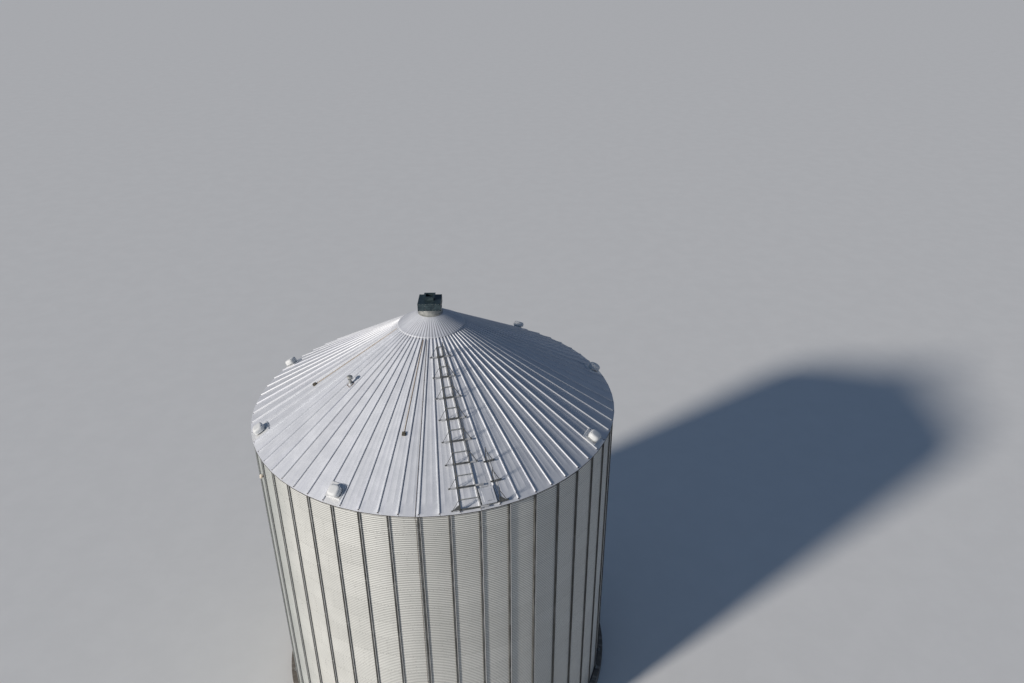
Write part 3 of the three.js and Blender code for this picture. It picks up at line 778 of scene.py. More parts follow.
def set_light():
    """Low, warm key light with slightly soft shadow edges, and a dim blue fill that is even all round."""
    to_key = outward(KEY_ANGLE) * math.cos(KEY_HEIGHT) + UP * math.sin(KEY_HEIGHT)
    data = bpy.data.lights.new("key", "SUN")
    data.energy = KEY_STRENGTH
    data.color = KEY_COLOUR
    data.angle = KEY_SPREAD
    new_object("key", data).rotation_euler = to_key.to_track_quat("Z", "Y").to_euler()

    world = bpy.data.worlds.new("studio")
    world.use_nodes = True
    bpy.context.scene.world = world
    tree = world.node_tree
    back = tree.nodes["Background"]
    back.inputs["Color"].default_value = (*FILL, 1)
    # What the camera sees behind the object is a plain pale backdrop
    seen = tree.nodes.new("ShaderNodeBackground")
    seen.inputs["Color"].default_value = (*BACKDROP, 1)
    rays = tree.nodes.new("ShaderNodeLightPath")
    choose = tree.nodes.new("ShaderNodeMixShader")
    tree.links.new(rays.outputs["Is Camera Ray"], choose.inputs[0])
    tree.links.new(back.outputs[0], choose.inputs[1])
    tree.links.new(seen.outputs[0], choose.inputs[2])
    tree.links.new(choose.outputs[0], tree.nodes["World Output"].inputs["Surface"])
    bpy.context.scene.view_settings.view_transform = "Standard"


def set_floor():
    """Wide pale floor that reaches past the horizon of the picture."""
    points, faces = block(FLOOR_HALF, FLOOR_HALF, -0.2, 0.0)
    mesh = bpy.data.meshes.new("floor")
    mesh.from_pydata(points, [], faces)
    mesh.materials.append(FLOOR)
    floor = new_object("floor", mesh)


def number(index):
    return f"{index + 1:02d}"


def wall_sheets(index):
    """Corrugated sheets of one sector. Each ring laps the ring below it on the outside."""
    per_sector = WALL_FACETS // SECTORS
    start = (index * STIFFENERS // SECTORS - 0.5) * STIFF_PITCH
    angles = [start + i * TURN / WALL_FACETS for i in range(per_sector + 1)]
    angles[0] += SECTOR_GAP / 2 / WALL_R
    angles[-1] -= SECTOR_GAP / 2 / WALL_R
    rings, shares = np.divmod(np.arange(RING_COUNT * (ROWS_PER_RING + 1)), ROWS_PER_RING + 1)
    shares = shares / ROWS_PER_RING
    turns = TURN * WAVES_PER_RING * (rings + shares)
    heights = PLINTH_TOP + (rings + shares) * RING_H
    radii = WALL_R - WAVE_DEPTH / 2 * (1 - np.cos(turns)) - RING_LAP * shares
    slopes = math.pi * WAVE_DEPTH * WAVES_PER_RING / RING_H * np.sin(turns)

    def skin(r):
        r = r[:, None]
        flat = np.repeat(heights[:, None], len(angles), 1)
        return np.stack([r * np.sin(angles), -r * np.cos(angles), flat], -1)

    shape = Shape().add(shell(skin(radii), skin(radii - WALL_SHEET_T)))
    piece = shape.build(f"wall_sheets_{number(index)}", WALL, smooth=40, slot="wall_sheet")
    # Shading follows the true wave between the four rows that each wave has
    normals = [outward(a) + UP * slope for slope in slopes for a in angles]
    normals += [-normal for normal in normals]
    piece.data.normals_split_custom_set_from_vertices([normal.normalized() for normal in normals])
    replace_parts(piece, f"wall_sector_{number(index)}")


def channel_outline():
    """Channel that is open outward, with lips: x along the wall, y outward from the sheet's crests."""
    t = STIFF_T
    high = STIFF_DEPTH
    right = [
        (STIFF_FLOOR, 0.0), (STIFF_MOUTH + t, high - t), (STIFF_LIP, high - t),
        (STIFF_LIP, high), (STIFF_MOUTH, high), (STIFF_FLOOR - t, t),
    ]
    return right + [(-x, y) for x, y in reversed(right)]


def stiffener(angle, channels, plates, bolts):
    """One stiffener in lengths of three rings, with splice plates on its floor where they meet."""
    seat = WALL_R + SKIN_GAP
    place = wall_frame(angle, seat, 0)
    face = STIFF_T + SPLICE_T
    rings = range(SPLICE_RINGS, RING_COUNT, SPLICE_RINGS)
    joints = [PLINTH_TOP + (SPLICE_START + ring) * RING_H for ring in rings]
    ends = [PLINTH_TOP + SKIN_GAP - SPLICE_GAP / 2, *joints, WALL_TOP + SPLICE_GAP / 2]
    for low, high in zip(ends, ends[1:]):
        channels.add(prism(channel_outline(), low + SPLICE_GAP / 2, high - SPLICE_GAP / 2), place)
    half = STIFF_FLOOR - 2 * STIFF_T
    heads = []
    for joint in joints:
        low_corner = (-half, STIFF_T + SKIN_GAP, joint - SPLICE_L / 2)
        plates.add(box(low_corner, (half, face, joint + SPLICE_L / 2)), place)
        heads += [(face, joint + rise) for rise in SPLICE_BOLTS]
    for i in range(int(RING_COUNT * RING_H / BOLT_SPACING)):
        z = PLINTH_TOP + (i + 0.5) * BOLT_SPACING
        if min(abs(z - joint) for joint in joints) >= SPLICE_L / 2 + BOLT_R:
            heads.append((STIFF_T, z))
    for out, z in heads:
        for side in (-1, 1):
            bolts.bolt(out_of_wall(angle, seat + out, z, side * STIFF_FLOOR / 2))


def stiffeners(index):
    channels = Shape()
    plates = Shape()
    bolts = Shape()
    per_sector = STIFFENERS // SECTORS
    for i in range(per_sector):
        stiffener((index * per_sector + i) * STIFF_PITCH, channels, plates, bolts)
    channels.build(f"stiffeners_{number(index)}", STIFF)
    plates.build(f"stiffener_splices_{number(index)}", BAR)
    bolts.build(f"stiffener_bolts_{number(index)}", BOLT)


def seam_bolts(index):
    """Bolts along the ring seams, and down the side laps of the sheets halfway between stiffeners."""
    bolts = Shape()
    per_sector = STIFFENERS // SECTORS
    clear = (STIFF_LIP + 0.02) / WALL_R
    for i in range(index * per_sector, (index + 1) * per_sector):
        for ring in range(1, RING_COUNT):
            z = PLINTH_TOP + ring * RING_H + RING_BOLT_RISE
            for angle in np.linspace(i * STIFF_PITCH + clear, (i + 1) * STIFF_PITCH - clear, RING_BOLTS):
                bolts.bolt(out_of_wall(angle, SEAM_SEAT_R, z))
        for ring in range(i % 2, RING_COUNT, 2):
            for j in range(LAP_BOLTS):
                z = PLINTH_TOP + (ring + (j + 0.7) / (LAP_BOLTS + 0.4)) * RING_H
                for slide in (-LAP_HALF_W, LAP_HALF_W):
                    bolts.bolt(out_of_wall((i + 0.5) * STIFF_PITCH, LAP_SEAT_R, z, slide), LAP_BOLT_SIZE)
    bolts.build(f"seam_bolts_{number(index)}", BOLT)


def half_bay(corner_r, rib_h, swage_h):
    """Points of the sheet from a rib's crest to the middle of the bay beside it.

    Each is (distance from the middle of the bay, height square to the sheet).
    """
    half = corner_r * math.sin(HALF_BAY)
    free = half - RIB_HALF_W - RIB_FILLET
    swage = SWAGE_SHARE * free
    wide = min(SWAGE_HALF_W, 0.3 * free)
    return [
        (half - RIB_HALF_TOP + 0.006, rib_h),
        (half - RIB_HALF_TOP - 0.004, rib_h * 0.86),
        (half - RIB_HALF_W + 0.004, rib_h * 0.12),
        (half - RIB_HALF_W - RIB_FILLET, 0.0),
        (swage + wide, 0.0),
        (swage + wide * 0.4, swage_h),
        (swage - wide * 0.4, swage_h),
        (swage - wide, 0.0),
        (0.0, 0.0),
    ]


def roof_row(first, count, corner_r, rib_h, swage_h, sink=0.0):
    """Points across a row of ribs, from mid-bay to mid-bay, at one corner radius."""
    row = []
    level = UP * roof_z(corner_r)
    for rib in range(first, first + count):
        sides = []
        for side in (-1, 1):
            angle = (rib + side / 2) * BAY
            middle = outward(angle) * corner_r * math.cos(HALF_BAY) + level
            points = half_bay(corner_r, rib_h, swage_h)
            normal = square_to(angle, PITCH)
            sides.append([middle - sideways(angle) * side * x + normal * (h - sink) for x, h in points])
        crest = outward(rib * BAY) * corner_r + level + square_to(rib * BAY, RIB_PITCH) * (rib_h - sink)
        left, right = sides
        # Two ribs share the point in the middle of the bay between them
        row += left[::-1][1 if rib > first else 0:] + [crest] + right
    return row


def roof_sheets(index):
    """Rolled roof sheets of one sector, with their ribs, swages and folded drip edge."""
    count = RIBS // SECTORS
    first = index * count
    t = ROOF_SHEET_T
    lip = roof_row(first, count, EAVE_R, 0.0, 0.0, 0.003)
    back = roof_row(first, count, EAVE_R - t, 0.0, 0.0, t + 0.003)
    outer = [[point - UP * DRIP for point in lip], lip]
    inner = [[point - UP * DRIP for point in back], back]
    # Radius of the rib's line, and the shares of the rib's and the swage's full height there
    rows = [
        (EAVE_R - 0.003, 0.0, 0.0),
        (RIB_END_R, 0.03, 0.0),
        (RIB_END_R - 0.01, 1.0, 0.0),
        (RIB_END_R - 0.4, 1.0, 0.0),
        (RIB_END_R - 0.5, 1.0, 1.0),
        (ROOF_IN_R + 0.9, 1.0, 1.0),
        (ROOF_IN_R + 0.6, 1.0, 0.0),
        (ROOF_IN_R, 1.0, 0.0),
    ]
    for corner_r, rib_share, swage_share in rows:
        tall = (rib_share * RIB_H, swage_share * SWAGE_H)
        outer.append(roof_row(first, count, corner_r, *tall))
        inner.append(roof_row(first, count, corner_r - t / 2, *tall, t))
    shape = Shape().add(shell(np.array(outer), np.array(inner)))
    piece = shape.build(f"roof_sheets_{number(index)}", ROOF, smooth=35, slot="roof_sheet")
    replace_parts(piece, f"roof_sector_{number(index)}")
    return piece


def cut(piece, cutter):
    """Take the cutter's body out of the piece for good."""
    hole = piece.modifiers.new("hole", "BOOLEAN")
    hole.object = cutter
    hole.solver = "EXACT"
    hole.operation = "DIFFERENCE"
    graph = bpy.context.evaluated_depsgraph_get()
    mesh = bpy.data.meshes.new_from_object(piece.evaluated_get(graph))
    piece.modifiers.remove(hole)
    piece.data = mesh
    bpy.data.objects.remove(cutter)


def rib_screws(index):
    """Screws along the ribs of one sector, and dark plugs at the rib ends by the eave, painted shade of the
    open rib ends.
    """
    screws = Shape()
    mouths = Shape()
    count = RIBS // SECTORS
    for rib in range(index * count, (index + 1) * count):
        for r in np.arange(CAP_R + 0.25, RIB_END_R - 0.05, RIB_SCREW_SPACING):
            screws.bolt(rib_frame(rib, r) @ shift(0, 0, RIB_H), 0.7)
        # Painted shade: a near-black plug stands for each rib's shaded open end
        mouth = box((-MOUTH_W / 2, -MOUTH_L, 0.0015), (MOUTH_W / 2, -0.001, 0.016))
        mouths.add(mouth, rib_frame(rib, RIB_END_R))
    mouths.build(f"rib_mouths_{number(index)}", BITUMEN_AND_SHADE, slot="roof_sheet")
    screws.build(f"roof_screws_{number(index)}", BOLT)


def eave_angle():
    """Rolled steel ring between the wall's top and the roof, and the dark closure behind the drip edge."""
    low = WALL_TOP + SKIN_GAP
    top = [(r, roof_z(r) - 0.012) for r in (SEAT_OUT_R, SEAT_IN_R)]
    Shape().add(hoop([(SEAT_OUT_R, low), *top, (SEAT_IN_R, low)], RIBS)).build("eave_angle", BAR)
    edge = roof_z(EAVE_R)
    profile = rectangle(EAVE_R - 0.02, edge - CLOSURE_LOW, EAVE_R + 0.002, edge - CLOSURE_HIGH)
    Shape().add(hoop(profile, RIBS)).build("eave_closure", BITUMEN_AND_SHADE, slot="dark_paint")


def arc(centre, radius, steps):
    """Points of a quarter circle in a plane, from its right end to its top."""
    angles = [TURN / 4 * i / steps for i in range(steps + 1)]
    return [(centre[0] + radius * math.cos(a), centre[1] + radius * math.sin(a)) for a in angles]


def hood_profile():
    """Half widths and heights of a hood's skin, from its crown down the inside and up the outside."""
    centre = (HOOD_HALF - HOOD_ROUND, HOOD_HIGH - HOOD_ROUND)
    skins = []
    for inset in (HOOD_SKIN_T, 0.0):
        crown = [(HOOD_HALF * 0.3, HOOD_HIGH - inset + 0.003), (0.01, HOOD_HIGH - inset + 0.004)]
        skins.append(arc(centre, HOOD_ROUND - inset, 7) + crown)
    inner, outer = skins
    fold = HOOD_HALF + 0.005
    rim = [(HOOD_HALF - HOOD_SKIN_T, HOOD_LOW), (fold, HOOD_LOW)]
    rim += [(fold, HOOD_LOW + 0.014), (HOOD_HALF, HOOD_LOW + 0.018)]
    return inner[::-1] + rim + outer


def vent(index):
    """Rounded sheet hood on a square neck, with a wire guard, a curb over one rib and a light apron."""
    place = bay_frame(VENT_FIRST_BAY + VENT_OFFSETS[index], VENT_R)
    middle = place @ shift(0, -HOOD_SHIFT, 0)
    skin = Shape().add(turned(hood_profile(), HOOD_SIDES, power=HOOD_POWER), middle)
    throat = VENT_NECK / 2
    skin.add(block(throat, throat, VENT_PLATE_H, HOOD_LOW + 0.02), place)
    skin.add(block(VENT_PLATE_W / 2, VENT_PLATE_L / 2, SKIN_GAP, VENT_PLATE_H), place)
    hood = skin.build(f"vent_hood_{index + 1}", HOOD, smooth=30, slot="roof_sheet")
    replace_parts(hood, f"roof_vent_{index + 1}")

    inside = Shape().add(block(throat, throat, HOOD_LOW + 0.021, HOOD_HIGH - 0.03), place)
    inside.build(f"vent_dark_{index + 1}", SHADE, slot="dark_paint")

    guard = Shape()
    mesh_z = HOOD_LOW + 0.012
    for across in np.linspace(-WIRE_SPREAD, WIRE_SPREAD, GUARD_WIRES) * HOOD_HALF:
        reach = HOOD_HALF * (1 - abs(across / HOOD_HALF) ** HOOD_POWER) ** (1 / HOOD_POWER) - 0.002
        guard.add(tube([(across, -reach, mesh_z), (across, reach, mesh_z)], WIRE_R, 5), middle)
        guard.add(tube([(-reach, across, mesh_z), (reach, across, mesh_z)], WIRE_R, 5), middle)
    for side in (-1, 1):
        face = middle @ shift(side * HOOD_HALF * 0.97, 0, HOOD_LOW + 0.05)
        face @= Matrix.Rotation(side * TURN / 4, 4, "Y")
        guard.bolts(face, (0.0,), (-0.16, 0.0, 0.16), 0.0, 0.5)
    columns = np.linspace(CURB_LEFT + 0.08, CURB_RIGHT - 0.06, 7)
    guard.bolts(place, columns, (CURB_LOW + 0.06, CURB_HIGH - 0.06), CURB_TOP, SCREW_SIZE)
    guard.build(f"vent_guard_{index + 1}", BOLT)

    low = SWAGE_H + SKIN_GAP
    curb = pressing(CURB_LEFT, CURB_LOW, CURB_RIGHT, CURB_HIGH, CURB_SLOPE, low, CURB_TOP)
    apron = Shape().add(curb, place)
    eave = -(EAVE_R * math.cos(HALF_BAY) - VENT_R) / math.cos(PITCH) + 0.012
    wide = APRON_W / 2
    apron.add(box((-wide, eave, low), (wide, CURB_LOW + CURB_SLOPE, SWAGE_H + 0.003)), place)
    apron.build(f"vent_apron_{index + 1}", APRON, slot="roof_sheet")


def stack_vent():
    """Small round vent with a rain cap on a square flashing with rusty edges."""
    place = bay_frame(STACK_BAY, STACK_R)
    upright = Matrix.Translation(place @ Vector((0, 0, STACK_PLATE_H)))
    half = STACK_PLATE / 2
    low = -STACK_PIPE_R * math.tan(PITCH) + 0.002
    flashing = Shape().add(block(half, half, SKIN_GAP, STACK_PLATE_H - 0.012), place)
    flashing.add(turned([(STACK_PIPE_R + 0.02, low), (STACK_PIPE_R + 0.004, 0.07)], 24), upright)
    piece = flashing.build("stack_flashing", ROOF, smooth=35, bevel=0.002, slot="roof_sheet")
    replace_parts(piece, "stack_vent")

    edges = Shape()
    inside = half - STACK_EDGE_W
    base = STACK_PLATE_H - 0.004
    for a in range(4):
        turn = place @ Matrix.Rotation(a * TURN / 4, 4, "Z")
        edges.add(box((-half, inside, base - 0.009), (inside, half, base)), turn)
        edges.bolts(turn, (-inside, -0.01, half - 0.05), (half - STACK_EDGE_W / 2,), base, SCREW_SIZE)
    edges.build("stack_flashing_edges", RUST, slot="rusty_steel")

    rim = STACK_H - STACK_CAP_H
    pipe = Shape().add(turned([(STACK_PIPE_R, low), (STACK_PIPE_R, rim - 0.03)], 28), upright)
    dome = [(STACK_CAP_R - 0.006, rim - STACK_RIM_H), (STACK_CAP_R, rim - STACK_RIM_H + 0.004)]
    dome += [(STACK_CAP_R, rim - 0.008)]
    for r, rise in arc((0, 0), 1.0, 8)[1:]:
        dome.append((max(STACK_CAP_R * r, 0.012), rim - 0.008 + (STACK_CAP_H + 0.004) * rise))
    pipe.add(turned(dome, 32), upright)
    stay = box((STACK_PIPE_R - 0.01, -0.012, rim - 0.12), (STACK_CAP_R - 0.01, 0.012, rim - 0.03))
    for a in range(3):
        pipe.add(stay, upright @ Matrix.Rotation(a * TURN / 3, 4, "Z"))
    pipe.add(turned([(STACK_PIPE_R + 0.012, 0.10), (STACK_PIPE_R + 0.001, 0.125)], 28), upright)
    pipe.build("stack_pipe", BAR, smooth=35)

    # Painted light: the bead under the cap and the ring on the flashing take the lightened bar zinc
    top = rim - 0.006
    bead = STACK_CAP_R + 0.002
    profile = [(bead - 0.02, top), (bead, top - 0.01), (bead, top + 0.006), (bead - 0.02, top + 0.018)]
    rings = Shape().add(hoop(profile, 32), upright)
    inner = STACK_PIPE_R + 0.035
    rings.add(hoop(rectangle(inner, base - 0.005, inner + 0.03, base + 0.012), 32), place)
    rings.build("stack_rings", LIT_BAR, smooth=35)


def cap_under(r):
    return roof_z(r) + RIB_H / math.cos(RIB_PITCH) + CAP_SEAT


def peak_cap():
    """Folded cone over the upper ends of the ribs, with radial folds and a turned-down lip."""
    # Radius, lift over the cone, and share of the radial fold's full height there
    rows = [
        (CAP_R - 0.001, -CAP_LIP, 0.0),
        (CAP_R, 0.0, 0.0),
        (CAP_R - 0.03, CAP_FOLD, 1.0),
        (CAP_R - 0.07, 0.0, 1.0),
        (CAP_R * 0.6, 0.0, 1.0),
        (COLLAR_FLANGE_R + 0.12, 0.0, 1.0),
        (COLLAR_FLANGE_R + 0.06, 0.0, 0.0),
        (CAP_IN_R, 0.0, 0.0),
    ]
    profiles = []
    for column in range(RIBS * 4):
        fold = 0.0 if column % 4 else CAP_FOLD
        skin = [(r, cap_under(r) + CAP_T * 0.6 + lift + fold * share) for r, lift, share in rows]
        profiles.append(skin + [(r - 0.003, z - 0.003) for r, z in reversed(skin)])
    piece = Shape().add(ring_of(profiles)).build("peak_cap_sheet", ROOF, smooth=30, slot="roof_sheet")
    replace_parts(piece, "peak_cap")

    bolts = Shape()
    r = CAP_R - 0.09
    seat = shift(0, 0, cap_under(r) + CAP_T * 0.6 - roof_z(r))
    for i in range(RIBS):
        bolts.bolt(seat @ rib_frame(i + 0.5, r), BAR_BOLT_SIZE)
    r = (COLLAR_FLANGE_R + COLLAR_R) / 2
    z = cap_under(r) + CAP_T + COLLAR_FLANGE_T
    for i in range(COLLAR_BOLTS):
        bolts.bolt(Matrix.Translation(outward(i * TURN / COLLAR_BOLTS) * r + UP * z), 1.1)
    bolts.build("peak_bolts", BOLT)


def peak_fittings():
    """Rolled band on the collar, frames and cover of the inlet box, and bolts of its flange."""
    top = cap_under(CAP_IN_R) + CAP_T + COLLAR_H
    band = hoop(rectangle(COLLAR_R + 0.001, top - 0.05, COLLAR_R + 0.03, top - 0.002), RIBS)
    Shape().add(band).build("collar_band", BAR)

    low = top + 0.001
    high = low + INLET_H
    half = INLET_W / 2
    # Front face of the frames, and their back inside the box's wall
    front = -half - FRAME_T
    back = -half + 0.001
    trim = Shape()
    bolts = Shape()
    head = out_of_wall(0, 0, 0)
    for side in range(4):
        turn = Matrix.Rotation(side * TURN / 4, 4, "Z")
        for z in (low + 0.002, high - 0.002 - FRAME_W):
            trim.add(box((front, front, z), (-front, back, z + FRAME_W)), turn)
            for x in np.linspace(-half + 0.08, half - 0.08, 7):
                bolts.bolt(turn @ shift(x, front, z + FRAME_W / 2) @ head, BAR_BOLT_SIZE)
        for x in (front, half - 0.045):
            trim.add(box((x, front, low), (x + 0.053, back, high)), turn)
        for x in np.linspace(-1, 1, 4) * (NECK_FLANGE_W - 0.06) * 3 / 8:
            seat = shift(x, -NECK_FLANGE_W / 2 + 0.045, high + NECK_H - NECK_T - BOLT_H)
            bolts.bolt(turn @ seat, 0.95)
    cover = front - FRAME_T
    trim.add(box((-COVER_HALF_W, cover, low + 0.09), (COVER_HALF_W, -half - 0.001, high - 0.09)))
    for x in (-COVER_HALF_W + 0.03, COVER_HALF_W - 0.03):
        for z in (low + 0.12, high - 0.12):
            bolts.bolt(shift(x, cover, z) @ head)
    grip = ((-0.07, -half - 0.014), (-0.07, -half - 0.05), (0.07, -half - 0.05), (0.07, -half - 0.014))
    trim.add(tube([(x, y, (low + high) / 2) for x, y in grip], 0.008, 8))
    trim.build("inlet_frames", DARK, bevel=0.002, slot="dark_paint")
    bolts.build("inlet_bolts", BOLT)


def bar_between(shape, foot, head, width, thick, place):
    """Angle iron from one point to another, in the frame of the place."""
    w = width / 2
    inside = w - thick
    outline = [(-w, -w), (-inside, -w), (-inside, inside), (w, inside), (w, w), (-w, w)]
    along = (head - foot).normalized()
    side = along.cross(Vector((0, 1, 0))).normalized()
    local = axes_at(side, along.cross(side), along, foot)
    shape.add(prism(outline, 0.0, (head - foot).length), place @ local)


def cross_bar(y, depth, low, high, left, right):
    """Channel that is open below and runs along x."""
    t = BAR_T
    near = y - depth / 2
    far = y + depth / 2
    outline = [
        (near, low), (near + t, low), (near + t, high - t), (far - t, high - t),
        (far - t, low), (far, low), (far, high), (near, high),
    ]
    points, faces = prism(outline, left, right)
    return [(x, y, z) for y, z, x in points], faces


def slope_at(mid_r):
    return -mid_r / math.cos(PITCH)


def rib_side(mid_r):
    return mid_r * math.tan(HALF_BAY)


def roof_steps():
    """Angle iron stringers on two ribs with painted light, and thin bars and wide bars across them in turn;
    the wide bars carry painted shade between the stringers.
    """
    stringers = Shape()
    thin_bars = Shape()
    wide_bars = Shape()
    bar_ends = Shape()
    bolts = Shape()
    place = bay_frame(STEP_BAY, 0)
    length = (STEP_FOOT_R + BAR_THICK + BAR_THIN - STEP_RADII[-1]) / math.cos(RIB_PITCH)
    w = STRINGER_W / 2
    low = RIB_H + SKIN_GAP
    high = low + STRINGER_H
    foot = low + STRINGER_T
    section = [(-w, low), (w, low), (w, foot), (STRINGER_T - w, foot), (STRINGER_T - w, high), (-w, high)]
    for side in (-1, 1):
        if side > 0:
            section = [(-x, z) for x, z in reversed(section)]
        points, faces = prism(section, 0.0, length)
        # The section is x and z, and the run is y. This order mirrors the body, so its faces turn
        body = ([(x, y, z) for x, z, y in points], [face[::-1] for face in faces])
        stringers.add(body, rib_frame(STEP_BAY + side / 2, STEP_FOOT_R + BAR_THICK))
    for i, mid_r in enumerate(STEP_RADII):
        y = slope_at(mid_r)
        tread = rib_side(mid_r) + STRINGER_W / 2
        rows = (y,)
        if i % 2:
            thin_bars.add(cross_bar(y, BAR_THIN, BAR_LOW, BAR_HIGH, -tread, tread), place)
        else:
            reach = rib_side(mid_r) + BAR_OVERHANG
            rows = (y - 0.018, y + 0.018)
            runs = ((wide_bars, -tread, tread), (bar_ends, tread, reach), (bar_ends, -reach, -tread))
            for bars, left, right in runs:
                bars.add(cross_bar(y, BAR_THICK, BAR_LOW, BAR_HIGH, left, right), place)
        bolts.bolts(place, (-rib_side(mid_r), rib_side(mid_r)), rows, BAR_HIGH, BAR_BOLT_SIZE)
    # Painted light on the stringers and the bars' ends, painted shade on the wide bars between the stringers
    piece = stringers.build("step_stringers", LIT_BAR, bevel=BAR_EDGE)
    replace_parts(piece, "roof_steps")
    thin_bars.build("step_thin_bars", BAR, bevel=BAR_EDGE)
    wide_bars.build("step_wide_bars", SHADED_BAR, bevel=BAR_EDGE)
    bar_ends.build("step_bar_ends", LIT_BAR, bevel=BAR_EDGE)
    bolts.build("step_bolts", BOLT)


def handrail(name, feet, side, place, webs):
    """Posts and braces of angle iron, two round rails, and webs between the first posts and their braces."""
    bars = Shape()
    bolts = Shape()
    heads = []
    middles = []
    # Straight up in the roof's frame, by the height of a post
    rise = Vector((0, math.tan(PITCH), 1)) * POST_H
    for index, foot in enumerate(map(Vector, feet)):

        def at(share, across=0.0):
            return foot + rise * share + Vector((side * across, 0, 0))

        brace_foot = at(0, BRACE_OUT)
        bar_between(bars, foot, at(1), POST_W, 0.005, place)
        bar_between(bars, brace_foot, at(BRACE_SHARE, 0.01), BRACE_W, 0.004, place)
        if index < webs:
            bars.add(plate([foot, brace_foot, at(WEB_RISE)], WEB_T), place)
        for spot in (foot, brace_foot):
            seat = place @ Matrix.Translation(spot)
            bars.add(block(0.045, 0.035, 0.0, 0.006), seat)
            bolts.bolts(seat, (-0.033, 0.033), (0.0,), 0.006, SCREW_SIZE)
        for share in (1 - RAIL_W / 2 / POST_H, MID_RAIL_SHARE, BRACE_SHARE):
            seat = Matrix.Translation(at(share, POST_W / 2)) @ Matrix.Rotation(side * TURN / 4, 4, "Y")
            bolts.bolt(place @ seat, SCREW_SIZE)
        heads.append(at(1) - UP * RAIL_W / 3)
        middles.append(at(MID_RAIL_SHARE))
    for row in (heads, middles):
        over = (row[-1] - row[0]).normalized() * RAIL_W / 2
        bars.add(tube([row[0] - over, *row[1:-1], row[-1] + over], RAIL_R, 10), place)
    # Painted shade: the posts, braces and rails take the darkened bar zinc
    piece = bars.build(f"{name}_bars", SHADED_BAR, smooth=40)
    bolts.build(f"{name}_bolts", BOLT)
    return piece


def handrails():
    place = bay_frame(STEP_BAY, 0)
    thick = STEP_RADII[::2]
    left = [(-rib_side(r), slope_at(r), BAR_HIGH + SKIN_GAP) for r in thick]
    right = [(rib_side(r), slope_at(r), BAR_HIGH + SKIN_GAP) for r in thick[2:]]
    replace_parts(handrail("handrail_left", left, -1, place, 1), "handrail_left")
    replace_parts(handrail("handrail_right", right, 1, place, 0), "handrail_right")

    on_rib = rib_frame(GUARD_RIB, GUARD_RADII[0])
    low = RIB_H + SKIN_GAP
    high = low + STRINGER_H
    posts = [(0, (GUARD_RADII[0] - r) / math.cos(RIB_PITCH), high) for r in GUARD_RADII]
    guard = handrail("hatch_guard", posts, 1, on_rib, 1)
    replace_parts(guard, "hatch_guard")
    feet = Shape()
    ends = (BRACE_OUT / 2 - GUARD_BAR_L / 2, BRACE_OUT / 2 + GUARD_BAR_L / 2)
    for _, y, _ in posts:
        feet.add(cross_bar(y, BAR_THICK, low, high, *ends), on_rib)
    # Painted shade: the guard's feet take the darkened bar zinc
    feet.build("hatch_guard_feet", SHADED_BAR, bevel=BAR_EDGE)


def hatch_details():
    """Flashing and latch keeper round the hatch, and the lid's pressing, grip and latch."""
    place = bay_frame(HATCH_BAY, HATCH_R)
    fixed = Shape()
    bolts = Shape()
    half_w = HATCH_W / 2
    half_l = HATCH_L / 2
    wide = half_w + FLASHING_W
    strip = FLASHING_W + 0.001
    for y in (-half_l - FLASHING_W, half_l - 0.001):
        fixed.add(box((-wide, y, FLASHING_LOW), (wide, y + strip, FLASHING_HIGH)), place)
    for x in (-wide, half_w - 0.001):
        fixed.add(box((x, -half_l, FLASHING_LOW), (x + strip, half_l, FLASHING_HIGH)), place)
    side_x = half_w + 0.03
    end_y = half_l + 0.03
    bolts.bolts(place, np.linspace(-side_x, side_x, 7), (-end_y, end_y), FLASHING_HIGH, SCREW_SIZE)
    rows = np.linspace(0.08 - half_l, half_l - 0.08, 6)
    bolts.bolts(place, (-side_x, side_x), rows, FLASHING_HIGH, SCREW_SIZE)
    keeper = box((-0.04, -half_l - 0.02, HATCH_TOP - 0.075), (0.04, -half_l + 0.001, HATCH_TOP - 0.03))
    fixed.add(keeper, place)
    fixed.build("hatch_flashing", BAR, bevel=0.001)
    bolts.build("hatch_bolts", BOLT)

    top = HATCH_TOP + SKIN_GAP + LID_T
    skirt = top - 0.055
    edge = -half_l - LID_OVERLAP
    side_x = LID_W / 2
    corners = (0.09 - side_x, 0.06 - half_l, side_x - 0.09, half_l - 0.10)
    lid = Shape().add(pressing(*corners, 0.03, top - 0.002, top + 0.012), place)
    for x in (-side_x - 0.003, side_x - 0.001):
        lid.add(box((x, edge, skirt), (x + 0.004, half_l - 0.01, top - 0.001)), place)
    lid.add(box((-side_x, edge - 0.004, skirt), (side_x, edge, top - 0.001)), place)
    lid.build("lid_pressing", ROOF, body=LID_BODY, bevel=0.002, slot="roof_sheet")

    bend = ((-0.09, top), (-0.09, top + 0.055), (0.09, top + 0.055), (0.09, top))
    grip = Shape().add(tube([(x, edge + 0.12, z) for x, z in bend], 0.007, 8), place)
    grip.add(box((-0.025, edge - 0.012, top - 0.085), (0.025, edge - 0.004, top - 0.01)), place)
    grip.build("lid_grip", BAR, body=LID_BODY, smooth=40)


